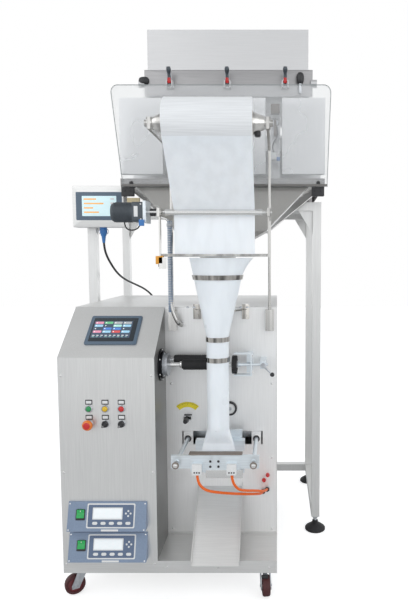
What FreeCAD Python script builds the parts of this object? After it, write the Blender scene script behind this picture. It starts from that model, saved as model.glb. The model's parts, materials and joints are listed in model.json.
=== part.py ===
import FreeCAD, Part
# Vertical form fill sealer with a two-bucket linear weigher on its own stand.
#
# X runs to the right along the machine's front, Y runs from the front to the back and Z runs up.
# The sizes are measured from the forming tube's axis and from the floor, because the film, the
# jaws, the pull rollers and the weigher are all centred on that tube. node() then moves each
# finished piece, so that the origin is on the floor below the middle of the whole machine.
# Every driving dimension is a cell of the sheet "Sizes"; the formulas below read those cells.
import math
import os
import re
import Sketcher
from FreeCAD import Rotation, Vector

doc = FreeCAD.newDocument("VerticalFormFillSealer")
sheet = doc.addObject("Spreadsheet::Sheet", "Sizes")

SIZES = [
    # cabinet and console, folded from stainless sheet
    ("bay_width", 469), ("cabinet_depth", 893), ("cabinet_top", 1146),
    ("cabinet_right", 232), ("front_plane", -55), ("wall_plane", 156),
    ("panel_sheet", 3), ("base_rise", 47), ("console_width", 371), ("console_brow", 970),
    ("door_inset", 30), ("door_rise", 10), ("gland_x", -437), ("gland_z", 958),
    ("louvre_width", 180), ("louvre_height", 8), ("louvre_pitch", 24), ("louvre_count", 6),
    # casters
    ("caster_rise", 112), ("caster_inset_side", 48), ("caster_inset_end", 60),
    ("wheel_radius", 40), ("wheel_width", 30), ("caster_trail", 26), ("fork_sheet", 4),
    ("caster_plate_side", 76), ("axle_radius", 5),
    # touch screen on the console's slope
    ("touch_width", 205), ("touch_height", 153), ("touch_proud", 7), ("touch_border", 13),
    ("touch_share", 0.512), ("touch_columns", 1.14),
    # push buttons, emergency stop and selectors, 22 mm fittings
    ("button_column", 62.5), ("button_inset", 117), ("button_upper", 772),
    ("button_drop", 59), ("button_hole", 11.25), ("button_stem", 11), ("bezel_radius", 14.5),
    ("button_cap", 10.5), ("bezel_proud", 6), ("cap_proud", 5), ("mushroom_radius", 20),
    ("stem_depth", 40), ("selector_lever", 26),
    # heat sealing controllers
    ("controller_side", 37), ("controller_height", 104), ("controller_jut", 38),
    ("controller_inset", 31), ("controller_lower_z", 177), ("controller_pitch", 124),
    ("controller_depth", 90), ("rocker_width", 30),
    # film pull unit in the console's side wall
    ("pull_axis_z", 920), ("pull_hole", 59), ("flange_radius", 55), ("flange_reach", 32),
    ("pull_shaft", 9), ("pull_radius", 22), ("pull_inset", 86), ("pull_right", 28),
    ("pinch_radius", 20), ("pinch_lift", 12), ("press_radius", 37), ("press_width", 20),
    ("press_left", 48), ("yoke_right", 131), ("yoke_sheet", 6), ("clamp_post", 176),
    ("lever_arm", 52), ("lever_ball", 9),
    ("conduit_socket", 14), ("conduit_reach", 7.5), ("conduit_x", -166), ("conduit_z", 1068),
    ("lever_slot_inset", 88), ("lever_slot_z", 671), ("scale_inset", 90), ("scale_z", 691),
    # forming tube, former and film
    ("tube_radius", 42), ("tube_sheet", 1.5), ("tube_foot", 678), ("tube_throat", 1046),
    ("former_top", 1352), ("former_mouth", 108), ("film_gap", 0.4), ("film_sheet", 0.8),
    ("film_width", 300), ("hoop_upper", 1275), ("hoop_middle", 1046), ("hoop_lower", 955),
    ("hoop_band", 18), ("hoop_sheet", 2),
    # end seal jaws
    ("jaw_z", 587), ("jaw_open", 55), ("jaw_width", 200), ("jaw_depth", 38), ("jaw_height", 40),
    ("jaw_rod_spacing", 289), ("jaw_rod", 8), ("jaw_plate_width", 331), ("jaw_plate_height", 50),
    ("jaw_plate_sheet", 12), ("jaw_spacer", 16), ("jaw_slot_width", 342),
    ("jaw_slot_height", 58), ("jaw_shut_gap", 0.8), ("bush_radius", 15),
    # discharge chute
    ("chute_width", 190), ("chute_top", 371), ("chute_lip", 148), ("chute_reach", 20),
    ("chute_flange", 22), ("chute_sheet", 2),
    # film unwind
    ("post_spacing", 402), ("post_radius", 6), ("post_setback", 13), ("post_foot", 1048),
    ("roll_axis_y", -211), ("roll_axis_z", 1808), ("roll_radius", 85), ("roll_bore", 38),
    ("roll_shaft", 12), ("arm_height", 40), ("arm_sheet", 10),
    ("feed_axis_y", -85), ("feed_axis_z", 1517), ("feed_radius", 11.5), ("feed_length", 360),
    ("guide_axis_y", -80), ("guide_axis_z", 1360), ("guide_radius", 5), ("motor_radius", 37),
    ("motor_length", 75), ("gearbox_side", 72), ("gearbox_length", 41), ("motor_plate", 11),
    # stand, square tube
    ("stand_tube", 40), ("stand_side_gap", 40), ("stand_right", 422), ("stand_front", 515),
    ("stand_inset", 25), ("stand_inner", 620), ("stand_top", 1612), ("leg_foot", 70),
    ("foot_radius", 50), ("gusset", 110), ("gusset_sheet", 6),
    # linear weigher
    ("weigher_left", -465), ("weigher_right", 445), ("weigher_front", 350),
    ("weigher_depth", 775), ("weigher_base_z", 1668), ("weigher_base_rise", 34), ("tray_sheet", 1.5),
    ("panel_head", 2052), ("bucket_width", 190), ("bucket_depth", 180), ("bucket_gap", 62),
    ("bucket_sheet", 2), ("bucket_foot", 1722), ("door_hinge_z", 1838), ("spout_radius", 70),
    ("spout_y", 34), ("spout_top", 1385), ("knee_z", 1460), ("knee_half", 186),
    ("knee_front", 152), ("knee_depth", 170), ("funnel_front_half", 382),
    ("funnel_back_half", 441), ("housing_top", 1900), ("pan_floor", 1962),
    ("hopper_floor", 2046), ("hopper_step", 2140), ("hopper_top", 2420), ("hopper_width", 760),
    ("hopper_front", 545), ("hopper_depth", 420), ("hopper_sheet", 3), ("clamp_spacing", 270),
    ("guard_width", 910), ("guard_foot", 1664), ("guard_head", 2059), ("guard_lean", 150),
    ("guard_sheet", 6),
    # weigher's operator panel
    ("panel_width", 237), ("panel_height", 189), ("panel_depth", 62), ("panel_x", -712),
    ("panel_y", 430), ("panel_z", 1491), ("plug_radius", 17), ("plug_x", -581),
    ("plug_foot", 1426),
]
for row, (alias, amount) in enumerate(SIZES, start=1):
    sheet.set("A%d" % row, alias)
    sheet.set("B%d" % row, str(amount))
    sheet.setAlias("B%d" % row, alias)
doc.recompute()
ALIASES = set(alias for alias, amount in SIZES)


def named(formula):
    """Puts the sheet's name before each alias in a formula, as FreeCAD's expressions need."""
    def prefix(match):
        word = match.group(0)
        return "Sizes." + word if word in ALIASES else word
    return re.sub(r"[a-z_]+", prefix, str(formula))


def amount_of(formula):
    """The number that a formula gives with the sheet's present values."""
    return float(sheet.evalExpression(named(formula)))


def bind(obj, **formulas):
    for prop, formula in formulas.items():
        obj.setExpression(prop, named(formula))


def seat(obj, x=0, y=0, z=0):
    """Binds an object's place to formulas and keeps its rotation."""
    for letter, formula in zip("xyz", (x, y, z)):
        obj.setExpression("Placement.Base." + letter, named(formula))
    return obj


TURNS = {"Z": Rotation(), "X": Rotation(Vector(0, 1, 0), 90), "Y": Rotation(Vector(1, 0, 0), -90)}


def box(name, size, corner):
    obj = doc.addObject("Part::Box", name)
    bind(obj, Length=size[0], Width=size[1], Height=size[2])
    return seat(obj, *corner)


def rod(name, radius, length, start, axis="Z"):
    """A cylinder that runs from its start point along +axis."""
    obj = doc.addObject("Part::Cylinder", name)
    bind(obj, Radius=radius, Height=length)
    obj.Placement = FreeCAD.Placement(Vector(), TURNS[axis])
    return seat(obj, *start)


def taper(name, radius, end_radius, length, start, axis="Z"):
    obj = doc.addObject("Part::Cone", name)
    bind(obj, Radius1=radius, Radius2=end_radius, Height=length)
    obj.Placement = FreeCAD.Placement(Vector(), TURNS[axis])
    return seat(obj, *start)


def ball(name, radius, centre):
    obj = doc.addObject("Part::Sphere", name)
    bind(obj, Radius=radius)
    return seat(obj, *centre)


def fuse(name, *parts):
    obj = doc.addObject("Part::MultiFuse", name)
    obj.Shapes = list(parts)
    obj.Refine = True
    return obj


def cut(name, base, *tools):
    tool = tools[0] if len(tools) == 1 else fuse(name + "_tools", *tools)
    obj = doc.addObject("Part::Cut", name)
    obj.Base = base
    obj.Tool = tool
    obj.Refine = True
    return obj


def group(name, *parts):
    """Separate solids that share one node."""
    obj = doc.addObject("Part::Compound", name)
    obj.Links = list(parts)
    return obj


def tube(name, radius, bore, length, start, axis="Z"):
    return cut(name, rod(name + "_outside", radius, length, start, axis),
               rod(name + "_bore", bore, length, start, axis))


def constrain(sketch, loops):
    """Draws closed outlines of (u, v) corners in a sketch, each corner bound by formulas."""
    def fix(kind, geometry, point, formula):
        index = sketch.addConstraint(
            Sketcher.Constraint(kind, -1, 1, geometry, point, amount_of(formula)))
        sketch.setExpression("Constraints[%d]" % index, named(formula))

    for loop in loops:
        corners = [Vector(amount_of(u), amount_of(v), 0) for u, v in loop]
        ends = corners[1:] + corners[:1]
        lines = [sketch.addGeometry(Part.LineSegment(a, b)) for a, b in zip(corners, ends)]
        for line, follower in zip(lines, lines[1:] + lines[:1]):
            sketch.addConstraint(Sketcher.Constraint("Coincident", line, 2, follower, 1))
        for line, (u, v) in zip(lines, loop):
            fix("DistanceX", line, 1, u)
            fix("DistanceY", line, 1, v)
    return sketch


def draw(body, plane, loops, name):
    """A sketch on one of the body's origin planes."""
    sketch = body.newObject("Sketcher::SketchObject", name)
    base = [feature for feature in body.Origin.OriginFeatures if feature.Role == plane][0]
    sketch.AttachmentSupport = (base, "")
    sketch.MapMode = "FlatFace"
    return constrain(sketch, loops)


def profile(name, plane, loops, length, start=("0", "0", "0"), midplane=False, reverse=False):
    """A PartDesign body: sketched outlines padded by a length."""
    body = doc.addObject("PartDesign::Body", name)
    pad = body.newObject("PartDesign::Pad", name + "_pad")
    pad.Profile = draw(body, plane, loops, name + "_outline")
    bind(pad, Length=length)
    pad.SideType = "Symmetric" if midplane else "One side"
    pad.Reversed = reverse
    body.Tip = pad
    return seat(body, *start)


def revolve(name, points, start, axis="Z"):
    """A PartDesign body: an outline of (radius, height) corners turned about its own axis."""
    body = doc.addObject("PartDesign::Body", name)
    turned = body.newObject("PartDesign::Revolution", name + "_turned")
    sketch = draw(body, "XZ_Plane", [points], name + "_outline")
    turned.Profile = sketch
    turned.ReferenceAxis = (sketch, ["V_Axis"])
    turned.Angle = 360
    body.Tip = turned
    body.Placement = FreeCAD.Placement(Vector(), TURNS[axis])
    return seat(body, *start)


def rectangle(left, low, right, high):
    return [(left, low), (right, low), (right, high), (left, high)]


def shaped(name, shape):
    """A feature whose shape code works out, for forms that no primitive or sketch gives."""
    obj = doc.addObject("Part::Feature", name)
    obj.Shape = shape
    return obj


NODES = {}
STAND_BACK = "(weigher_front + weigher_depth - stand_inset)"
MIDDLE = {"x": "((panel_x + stand_right + foot_radius) / 2)",
          "y": "((roll_axis_y - roll_radius + %s + foot_radius) / 2)" % STAND_BACK}


def node(name, obj):
    """Names a finished sub-part and moves it from the tube's axis to the machine's middle."""
    obj.Label = name
    bound = dict((path.lstrip("."), formula) for path, formula in obj.ExpressionEngine)
    for letter, middle in MIDDLE.items():
        path = "Placement.Base." + letter
        obj.setExpression(path, "%s - %s" % (bound.get(path, "0"), named(middle)))
    NODES[name] = obj
    return obj


WIDTH = "(bay_width + console_width)"
LEFT = "(cabinet_right - bay_width - console_width)"
CONSOLE_RIGHT = "(cabinet_right - bay_width)"
BACK = "(front_plane + cabinet_depth)"
BASE_TOP = "(caster_rise + base_rise)"
SLOPE = "((cabinet_top - console_brow) / (wall_plane - front_plane))"
SLANT = "sqrt(1 + %s ^ 2)" % SLOPE
SLOPE_ANGLE = "atan(%s)" % SLOPE
BUTTON_X = ["(%s + button_inset + %d * button_column)" % (LEFT, column) for column in range(3)]
BUTTON_LOWER = "(button_upper - button_drop)"
CONTROLLER_LEFT = "(%s + controller_inset)" % LEFT
CONTROLLER_WIDTH = "(console_width - controller_inset - controller_side)"
LEVER_SLOT_X = "(%s + lever_slot_inset)" % CONSOLE_RIGHT
SCALE_X = "(%s + scale_inset)" % CONSOLE_RIGHT
STAND_LEFT = "(%s - stand_side_gap)" % LEFT

# ---- cabinet -------------------------------------------------------------------------------

base_box = cut(
    "base_box",
    box("base_outside", (WIDTH, "cabinet_depth", "base_rise"),
        (LEFT, "front_plane", "caster_rise")),
    box("base_inside", (WIDTH + " - 2 * panel_sheet", "cabinet_depth - 2 * panel_sheet",
                        "base_rise - 2 * panel_sheet"),
        (LEFT + " + panel_sheet", "front_plane + panel_sheet", "caster_rise + panel_sheet")))

cabinet_outline = [
    (LEFT, BASE_TOP), (LEFT, "cabinet_top"), ("cabinet_right", "cabinet_top"),
    ("cabinet_right", BASE_TOP), ("cabinet_right - panel_sheet", BASE_TOP),
    ("cabinet_right - panel_sheet", "cabinet_top - panel_sheet"),
    (LEFT + " + panel_sheet", "cabinet_top - panel_sheet"), (LEFT + " + panel_sheet", BASE_TOP)]
node("cabinet_shell", profile("cabinet_shell", "XZ_Plane", [cabinet_outline],
                              "cabinet_depth - (wall_plane - front_plane) - panel_sheet",
                              ("0", "wall_plane", "0"), reverse=True))

console_section = [("front_plane", BASE_TOP), ("front_plane", "console_brow"),
                   ("wall_plane", "cabinet_top"), ("wall_plane", BASE_TOP)]
console_hollow = [
    ("front_plane + panel_sheet", BASE_TOP + " + panel_sheet"),
    ("front_plane + panel_sheet", "console_brow + panel_sheet * (%s - %s)" % (SLOPE, SLANT)),
    ("wall_plane + 1", "cabinet_top + %s - panel_sheet * %s" % (SLOPE, SLANT)),
    ("wall_plane + 1", BASE_TOP + " + panel_sheet")]
button_holes = [rod("button_hole_%d" % index, "button_hole", "3 * panel_sheet",
                    (BUTTON_X[index % 3], "front_plane - panel_sheet",
                     ("button_upper", BUTTON_LOWER)[index // 3]), "Y") for index in range(6)]
controller_windows = [
    box("controller_window_%d" % index,
        (CONTROLLER_WIDTH + " - 16", "4 * panel_sheet", "controller_height - 16"),
        (CONTROLLER_LEFT + " + 8", "front_plane - 2 * panel_sheet",
         "controller_lower_z + %d * controller_pitch + 8" % index)) for index in range(2)]
corner = "pull_hole * 0.4142"
octagon = [("pull_hole", corner), (corner, "pull_hole"), ("-" + corner, "pull_hole"),
           ("-pull_hole", corner), ("-pull_hole", "-" + corner), ("-" + corner, "-pull_hole"),
           (corner, "-pull_hole"), ("pull_hole", "-" + corner)]
PULL_Y = "(tube_radius + tube_sheet + pull_radius)"
pull_opening = profile("pull_opening", "YZ_Plane", [octagon], "4 * panel_sheet",
                       (CONSOLE_RIGHT + " - 2 * panel_sheet", PULL_Y, "pull_axis_z"))
TOUCH_Y = "(front_plane + touch_share * (wall_plane - front_plane))"
TOUCH_Z = "(console_brow + touch_share * (cabinet_top - console_brow))"
TOUCH_X = "(%s + touch_columns * button_column)" % BUTTON_X[0]


def on_slope(obj, x, y, z):
    """Leans an object back so that its own XY plane lies in the console's sloping face."""
    obj.Placement = FreeCAD.Placement(Vector(), Rotation(Vector(1, 0, 0), 1))
    obj.setExpression("Placement.Rotation.Angle", named(SLOPE_ANGLE))
    return seat(obj, x, y, z)


touch_window = on_slope(
    group("touch_window",
          box("touch_window_block", ("touch_width - 20", "touch_height - 20", "40"),
              ("10 - touch_width / 2", "10 - touch_height / 2", "-20"))),
    TOUCH_X, TOUCH_Y, TOUCH_Z)
node("console_shell", cut(
    "console_shell",
    profile("console_outside", "YZ_Plane", [console_section], "console_width",
            (LEFT, "0", "0")),
    profile("console_inside", "YZ_Plane", [console_hollow],
            "console_width - 2 * panel_sheet", (LEFT + " + panel_sheet", "0", "0")),
    touch_window, pull_opening, *(button_holes + controller_windows)))

bay_holes = [
    rectangle("-jaw_slot_width / 2", "jaw_z - jaw_slot_height / 2",
              "jaw_slot_width / 2", "jaw_z + jaw_slot_height / 2"),
    rectangle(LEVER_SLOT_X + " - 16", "lever_slot_z - 6", LEVER_SLOT_X + " + 16",
              "lever_slot_z + 6")]
bay_panel = profile(
    "bay_panel", "XZ_Plane",
    [rectangle(CONSOLE_RIGHT, BASE_TOP, "cabinet_right - panel_sheet",
               "cabinet_top - panel_sheet")] + bay_holes,
    "panel_sheet", ("0", "wall_plane", "0"), reverse=True)

bay_floor = fuse(
    "bay_floor",
    box("tray_floor", ("cabinet_right - " + CONSOLE_RIGHT, "wall_plane - front_plane",
                       "panel_sheet"), (CONSOLE_RIGHT, "front_plane", BASE_TOP)),
    box("tray_upturn", ("cabinet_right - " + CONSOLE_RIGHT, "panel_sheet", "14"),
        (CONSOLE_RIGHT, "wall_plane - panel_sheet", BASE_TOP)))

door_plate = box("door_plate", (WIDTH, "panel_sheet", "cabinet_top - " + BASE_TOP),
                 (LEFT, BACK + " - panel_sheet", BASE_TOP))
door_fold = box("door_fold", (WIDTH + " - 2 * door_inset", "door_rise",
                              "cabinet_top - %s - 2 * door_inset" % BASE_TOP),
                (LEFT + " + door_inset", BACK, BASE_TOP + " + door_inset"))
cable_gland = rod("cable_gland", "12", "18", ("gland_x", BACK + " + door_rise", "gland_z"), "Y")
louvres = [box("louvre_%d" % row, ("louvre_width", "3 * door_rise", "louvre_height"),
               ("%s + (%s - louvre_width) / 2" % (LEFT, WIDTH), BACK + " - door_rise",
                "cabinet_top - 4 * door_inset - %d * louvre_pitch" % row))
           for row in range(int(amount_of("louvre_count")))]
door_hollow = box("door_hollow", (WIDTH + " - 2 * door_inset - 4", "door_rise - 2 + panel_sheet",
                                  "cabinet_top - %s - 2 * door_inset - 4" % BASE_TOP),
                  (LEFT + " + door_inset + 2", BACK + " - panel_sheet", BASE_TOP + " + door_inset + 2"))
node("rear_cover", cut("rear_cover", fuse("rear_cover_sheet", door_plate, door_fold,
                                          cable_gland), door_hollow, *louvres))

# ---- casters -------------------------------------------------------------------------------

CASTERS = {
    "front_left": (LEFT + " + caster_inset_side", "front_plane + caster_inset_end", -62),
    "front_right": ("cabinet_right - caster_inset_side", "front_plane + caster_inset_end", 8),
    "rear_left": (LEFT + " + caster_inset_side", BACK + " - caster_inset_end", 180),
    "rear_right": ("cabinet_right - caster_inset_side", BACK + " - caster_inset_end", 180)}
FORK_GAP = "(wheel_width / 2 + 2)"
leg_outline = [("-16", "caster_rise - 16"), ("20", "caster_rise - 16"),
               ("-caster_trail + 13", "wheel_radius - 12"),
               ("-caster_trail - 13", "wheel_radius - 12"), ("-caster_trail - 15", "wheel_radius")]
plates = []
for place, (caster_x, caster_y, turn) in CASTERS.items():
    plates.append(box(place + "_caster_plate",
                      ("caster_plate_side", "caster_plate_side", "fork_sheet"),
                      (caster_x + " - caster_plate_side / 2", caster_y + " - caster_plate_side / 2",
                       "caster_rise - fork_sheet")))
    legs = [profile("%s_fork_leg_%d" % (place, side), "YZ_Plane", [leg_outline], "fork_sheet",
                    (FORK_GAP if side else "-%s - fork_sheet" % FORK_GAP, "0", "0"))
            for side in (0, 1)]
    fork = fuse(place + "_fork", rod(place + "_race", "27", "7.7",
                                     ("0", "0", "caster_rise - fork_sheet - 8")),
                box(place + "_crown", ("2 * %s + 2 * fork_sheet" % FORK_GAP, "44", "fork_sheet"),
                    ("-%s - fork_sheet" % FORK_GAP, "-22", "caster_rise - 16")),
                rod(place + "_axle", "axle_radius", "2 * %s + 2 * fork_sheet + 6" % FORK_GAP,
                    ("-%s - fork_sheet - 3" % FORK_GAP, "-caster_trail", "wheel_radius"), "X"),
                *legs)
    wheel_section = [
        ("axle_radius + 0.05", "-wheel_width / 2 - 1"), ("axle_radius + 7", "-wheel_width / 2 - 1"),
        ("axle_radius + 8", "-wheel_width / 2 + 5"), ("wheel_radius - 10", "-wheel_width / 2 + 5"),
        ("wheel_radius - 8", "-wheel_width / 2"), ("wheel_radius - 3", "-wheel_width / 2"),
        ("wheel_radius", "-wheel_width / 2 + 5"), ("wheel_radius", "wheel_width / 2 - 5"),
        ("wheel_radius - 3", "wheel_width / 2"), ("wheel_radius - 8", "wheel_width / 2"),
        ("wheel_radius - 10", "wheel_width / 2 - 5"), ("axle_radius + 8", "wheel_width / 2 - 5"),
        ("axle_radius + 7", "wheel_width / 2 + 1"), ("axle_radius + 0.05", "wheel_width / 2 + 1")]
    wheel = group(place + "_wheel", revolve(place + "_wheel_body", wheel_section,
                                            ("0", "-caster_trail", "wheel_radius"), "X"))
    for name, piece in (("_caster_fork", fork), ("_caster_wheel", wheel)):
        piece.Placement = FreeCAD.Placement(Vector(), Rotation(Vector(0, 0, 1), turn))
        seat(piece, caster_x, caster_y, "0")
        node(place + name, piece)
node("base_frame", fuse("base_frame", base_box, bay_floor, *plates))

# ---- console fittings ----------------------------------------------------------------------

screen_plate = box("touch_plate", ("touch_width", "touch_height", "touch_proud"),
                   ("-touch_width / 2", "-touch_height / 2", "0"))
screen_recess = box("touch_recess", ("touch_width - 2 * touch_border",
                                     "touch_height - 2 * touch_border", "2"),
                    ("touch_border - touch_width / 2", "touch_border - touch_height / 2",
                     "touch_proud - 1.5"))
screen_case = box("touch_case", ("touch_width - 22", "touch_height - 22", "38"),
                  ("11 - touch_width / 2", "11 - touch_height / 2", "-38"))
node("touch_screen", on_slope(cut("touch_screen", fuse("touch_body", screen_plate, screen_case),
                                  screen_recess), TOUCH_X, TOUCH_Y, TOUCH_Z))

bezels = []
for index in range(6):
    height = ("button_upper", BUTTON_LOWER)[index // 3]
    bezels.append(tube("button_bezel_%d" % index, "bezel_radius", "button_stem + 0.15",
                       "bezel_proud", (BUTTON_X[index % 3], "front_plane - bezel_proud", height),
                       "Y"))
    bezels.append(box("button_plate_%d" % index, ("27", "1.5", "19"),
                      (BUTTON_X[index % 3] + " - 13.5", "front_plane - 1.5",
                       height + " + bezel_radius + 1.5")))
node("button_bezels", group("button_bezels", *bezels))

STEM_START = "front_plane - bezel_proud"
for index, name in enumerate(("button_green", "button_yellow", "button_red")):
    cap = [("0", "-cap_proud"), ("button_cap - 2.5", "-cap_proud"),
           ("button_cap", "2 - cap_proud"), ("button_cap", "stem_depth"), ("0", "stem_depth")]
    node(name, revolve(name, cap, (BUTTON_X[index], STEM_START, "button_upper"), "Y"))

mushroom = [("0", "-28"), ("mushroom_radius - 8", "-27"), ("mushroom_radius - 2", "-22"),
            ("mushroom_radius", "-17"), ("mushroom_radius - 2", "-12"), ("button_cap", "-9"),
            ("button_cap", "stem_depth"), ("0", "stem_depth")]
node("emergency_stop", revolve("emergency_stop", mushroom,
                               (BUTTON_X[0], STEM_START, BUTTON_LOWER), "Y"))
for index, name in ((1, "selector_left"), (2, "selector_right")):
    knob = rod(name + "_hub", "button_cap", "stem_depth + 8",
               (BUTTON_X[index], STEM_START + " - 8", BUTTON_LOWER), "Y")
    collar = taper(name + "_collar", "bezel_radius - 3", "bezel_radius - 1", "8",
                   (BUTTON_X[index], STEM_START + " - 8.3", BUTTON_LOWER), "Y")
    grip = group(name + "_grip", box(name + "_bar", ("selector_lever", "10", "7"),
                                     ("-selector_lever / 2", "-17", "-3.5")))
    grip.Placement = FreeCAD.Placement(Vector(), Rotation(Vector(0, 1, 0), -45))
    seat(grip, BUTTON_X[index], STEM_START, BUTTON_LOWER)
    node(name, fuse(name, knob, collar, grip))

ROCKER_RISE = "61"
controllers = []
for index, name in enumerate(("lower", "upper")):
    foot = "(controller_lower_z + %d * controller_pitch)" % index
    wedge = [("front_plane", foot), ("front_plane - controller_jut", foot),
             ("front_plane - 6", foot + " + controller_height"),
             ("front_plane", foot + " + controller_height")]
    rocker_y = "(front_plane + 4 - controller_jut + (controller_jut - 6) * %s / " \
        "controller_height)" % ROCKER_RISE
    rocker_z = "(%s + %s)" % (foot, ROCKER_RISE)
    case = fuse(name + "_controller_case",
                profile(name + "_controller_front", "YZ_Plane", [wedge], CONTROLLER_WIDTH,
                        (CONTROLLER_LEFT, "0", "0")),
                box(name + "_controller_rear",
                    (CONTROLLER_WIDTH + " - 18", "controller_depth", "controller_height - 18"),
                    (CONTROLLER_LEFT + " + 9", "front_plane - 1", foot + " + 9")))
    controllers.append(cut(
        "controller_" + name, case,
        rod(name + "_rocker_well", "17.5", "rocker_width + 1",
            (CONTROLLER_LEFT + " + 49 - rocker_width / 2 - 0.5", rocker_y, rocker_z), "X")))
    face = [("-12", "14"), ("-6.5", "0"), ("-2", "-16.5"), ("8", "-15"), ("14", "0"), ("4", "16.5")]
    node("rocker_" + name, profile("rocker_" + name, "YZ_Plane", [face], "rocker_width",
                                   (CONTROLLER_LEFT + " + 49 - rocker_width / 2", rocker_y, rocker_z)))
node("seal_controllers", group("seal_controllers", *controllers))

# ---- film pull unit ------------------------------------------------------------------------

PULL_LEFT = "(%s + pull_inset)" % CONSOLE_RIGHT
PULL_LENGTH = "(pull_right - %s)" % PULL_LEFT
flange = revolve("pull_flange", [
    ("pull_shaft + 0.05", "0"), ("flange_radius + 10", "0"), ("flange_radius + 10", "6"),
    ("flange_radius", "6"), ("flange_radius", "14"), ("flange_radius - 12", "14"),
    ("flange_radius - 12", "flange_reach - 8"), ("flange_radius - 8", "flange_reach - 8"),
    ("flange_radius - 8", "flange_reach"), ("pull_shaft + 0.05", "flange_reach")],
    (CONSOLE_RIGHT, PULL_Y, "pull_axis_z"), "X")
PINCH_Y = "(%s + pull_radius + pinch_radius + 2)" % PULL_Y
PINCH_Z = "(pull_axis_z + pinch_lift)"
PINCH_SHAFT = "(pull_shaft - 3)"
pinch_clearance = rod("pinch_clearance", PINCH_SHAFT + " + 0.05", "flange_reach + 20",
                      (CONSOLE_RIGHT + " - 10", PINCH_Y, PINCH_Z), "X")
node("pull_unit_flange", cut("pull_unit_flange", flange, pinch_clearance))

pull_shaft = rod("pull_shaft_bar", "pull_shaft", "press_left - 1 - %s + 60" % CONSOLE_RIGHT,
                 (CONSOLE_RIGHT + " - 60", PULL_Y, "pull_axis_z"), "X")
pull_sleeve = revolve("pull_sleeve", [
    ("pull_shaft - 1", "0"), ("pull_radius - 4", "0"), ("pull_radius - 4", "5"),
    ("pull_radius - 0.5", "5"), ("pull_radius - 0.5", PULL_LENGTH + " - 6"),
    ("pull_radius - 6", PULL_LENGTH), ("pull_shaft - 1", PULL_LENGTH)],
    (PULL_LEFT, PULL_Y, "pull_axis_z"), "X")
node("pull_roller", fuse("pull_roller", pull_shaft, pull_sleeve))
node("pinch_roller", fuse(
    "pinch_roller", rod("pinch_shaft", PINCH_SHAFT, "260", (CONSOLE_RIGHT + " - 60", PINCH_Y,
                                                          PINCH_Z), "X"),
    rod("pinch_sleeve", "pinch_radius", "150", (PULL_LEFT + " - 40", PINCH_Y, PINCH_Z), "X")))

# the press wheel runs on the end of a bar that the ball lever clamps in the yoke
YOKE_Z = "(pull_axis_z + 2)"
yoke_arms = [box("yoke_arm_%d" % side, ("yoke_right - press_left - press_width / 2", "26",
                                        "yoke_sheet"),
                 ("press_left + press_width / 2", PULL_Y + " - 13",
                  "%s + %s" % (YOKE_Z, ("press_radius + 4", "-press_radius - 4 - yoke_sheet")[side])))
             for side in (0, 1)]
yoke_web = box("yoke_web", ("yoke_sheet", "26", "2 * (press_radius + 4 + yoke_sheet)"),
               ("yoke_right - yoke_sheet", PULL_Y + " - 13",
                YOKE_Z + " - press_radius - 4 - yoke_sheet"))
yoke_stay = box("yoke_stay", ("22", "wall_plane - %s - 12" % PULL_Y, "2 * press_radius"),
                ("yoke_right - 22", PULL_Y + " + 12", YOKE_Z + " - press_radius"))
clamp_block = box("clamp_block", ("24", "wall_plane - %s + 14" % PULL_Y, "30"),
                  ("clamp_post - 12", PULL_Y + " - 14", "pull_axis_z - 15"))
press_bar_hole = rod("press_bar_hole", "6", "200", ("yoke_right - 30", PULL_Y, "pull_axis_z"), "X")
yoke = cut("yoke", fuse("yoke_plates", yoke_web, yoke_stay, clamp_block, *yoke_arms),
           press_bar_hole)
press_rim = revolve("press_rim", [
    ("6.1", "-press_width / 2 - 2"), ("14", "-press_width / 2 - 2"), ("14", "-press_width / 2 + 3"),
    ("press_radius - 9", "-press_width / 2 + 3"), ("press_radius - 9", "-press_width / 2"),
    ("press_radius", "-press_width / 2"), ("press_radius", "press_width / 2"),
    ("press_radius - 9", "press_width / 2"), ("press_radius - 9", "press_width / 2 - 3"),
    ("14", "press_width / 2 - 3"), ("14", "press_width / 2 + 2"), ("6.1", "press_width / 2 + 2")],
    ("press_left + press_width / 2 + 3", PULL_Y, "pull_axis_z"), "X")
node("press_wheel", group("press_wheel", press_rim))
node("press_wheel_yoke", fuse(
    "press_wheel_yoke", yoke, rod("press_bar_rod", "6", "clamp_post + 20 - press_left",
                     ("press_left", PULL_Y, "pull_axis_z"), "X"),
    rod("press_bar_collar", "11", "8",
        ("press_left + press_width + 8", PULL_Y, "pull_axis_z"), "X")))
LEVER_Y = "(%s - 14)" % PULL_Y
lever_rod = rod("clamp_lever_rod", "4", "lever_arm", ("0", "-8", "0"), "X")
clamp_handle = group("clamp_handle", fuse("clamp_lever_parts",
                                          rod("clamp_lever_hub", "10", "14",
                                              ("0", "-14.3", "0"), "Y"), lever_rod,
                                          ball("clamp_lever_ball", "lever_ball",
                                               ("lever_arm", "-8", "0"))))
clamp_handle.Placement = FreeCAD.Placement(Vector(), Rotation(Vector(0, 1, 0), 45))
seat(clamp_handle, "clamp_post", LEVER_Y, "pull_axis_z")
node("clamp_lever", clamp_handle)

# ---- film feed angle lever -----------------------------------------------------------------

scale_lever = group("scale_lever", fuse(
    "scale_lever_parts", rod("scale_stem", "5", "46", ("0", "-30", "0"), "Y"),
    taper("scale_knob", "9", "12", "24", ("0", "-52", "0"), "Y"),
    rod("scale_washer", "10", "3", ("0", "-3.5", "0"), "Y")))
seat(scale_lever, LEVER_SLOT_X, "wall_plane", "lever_slot_z")
node("scale_lever", scale_lever)
sector_outer = rod("sector_outer", "52", "2", (SCALE_X, "wall_plane - 2", "scale_z"), "Y")
sector_inner = rod("sector_inner", "34", "6", (SCALE_X, "wall_plane - 4", "scale_z"), "Y")
sector_trim = box("sector_trim", ("120", "6", "80"),
                  (SCALE_X + " - 60", "wall_plane - 4", "scale_z - 62"))
angle_scale = cut("angle_scale", sector_outer, sector_inner, sector_trim)

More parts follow.
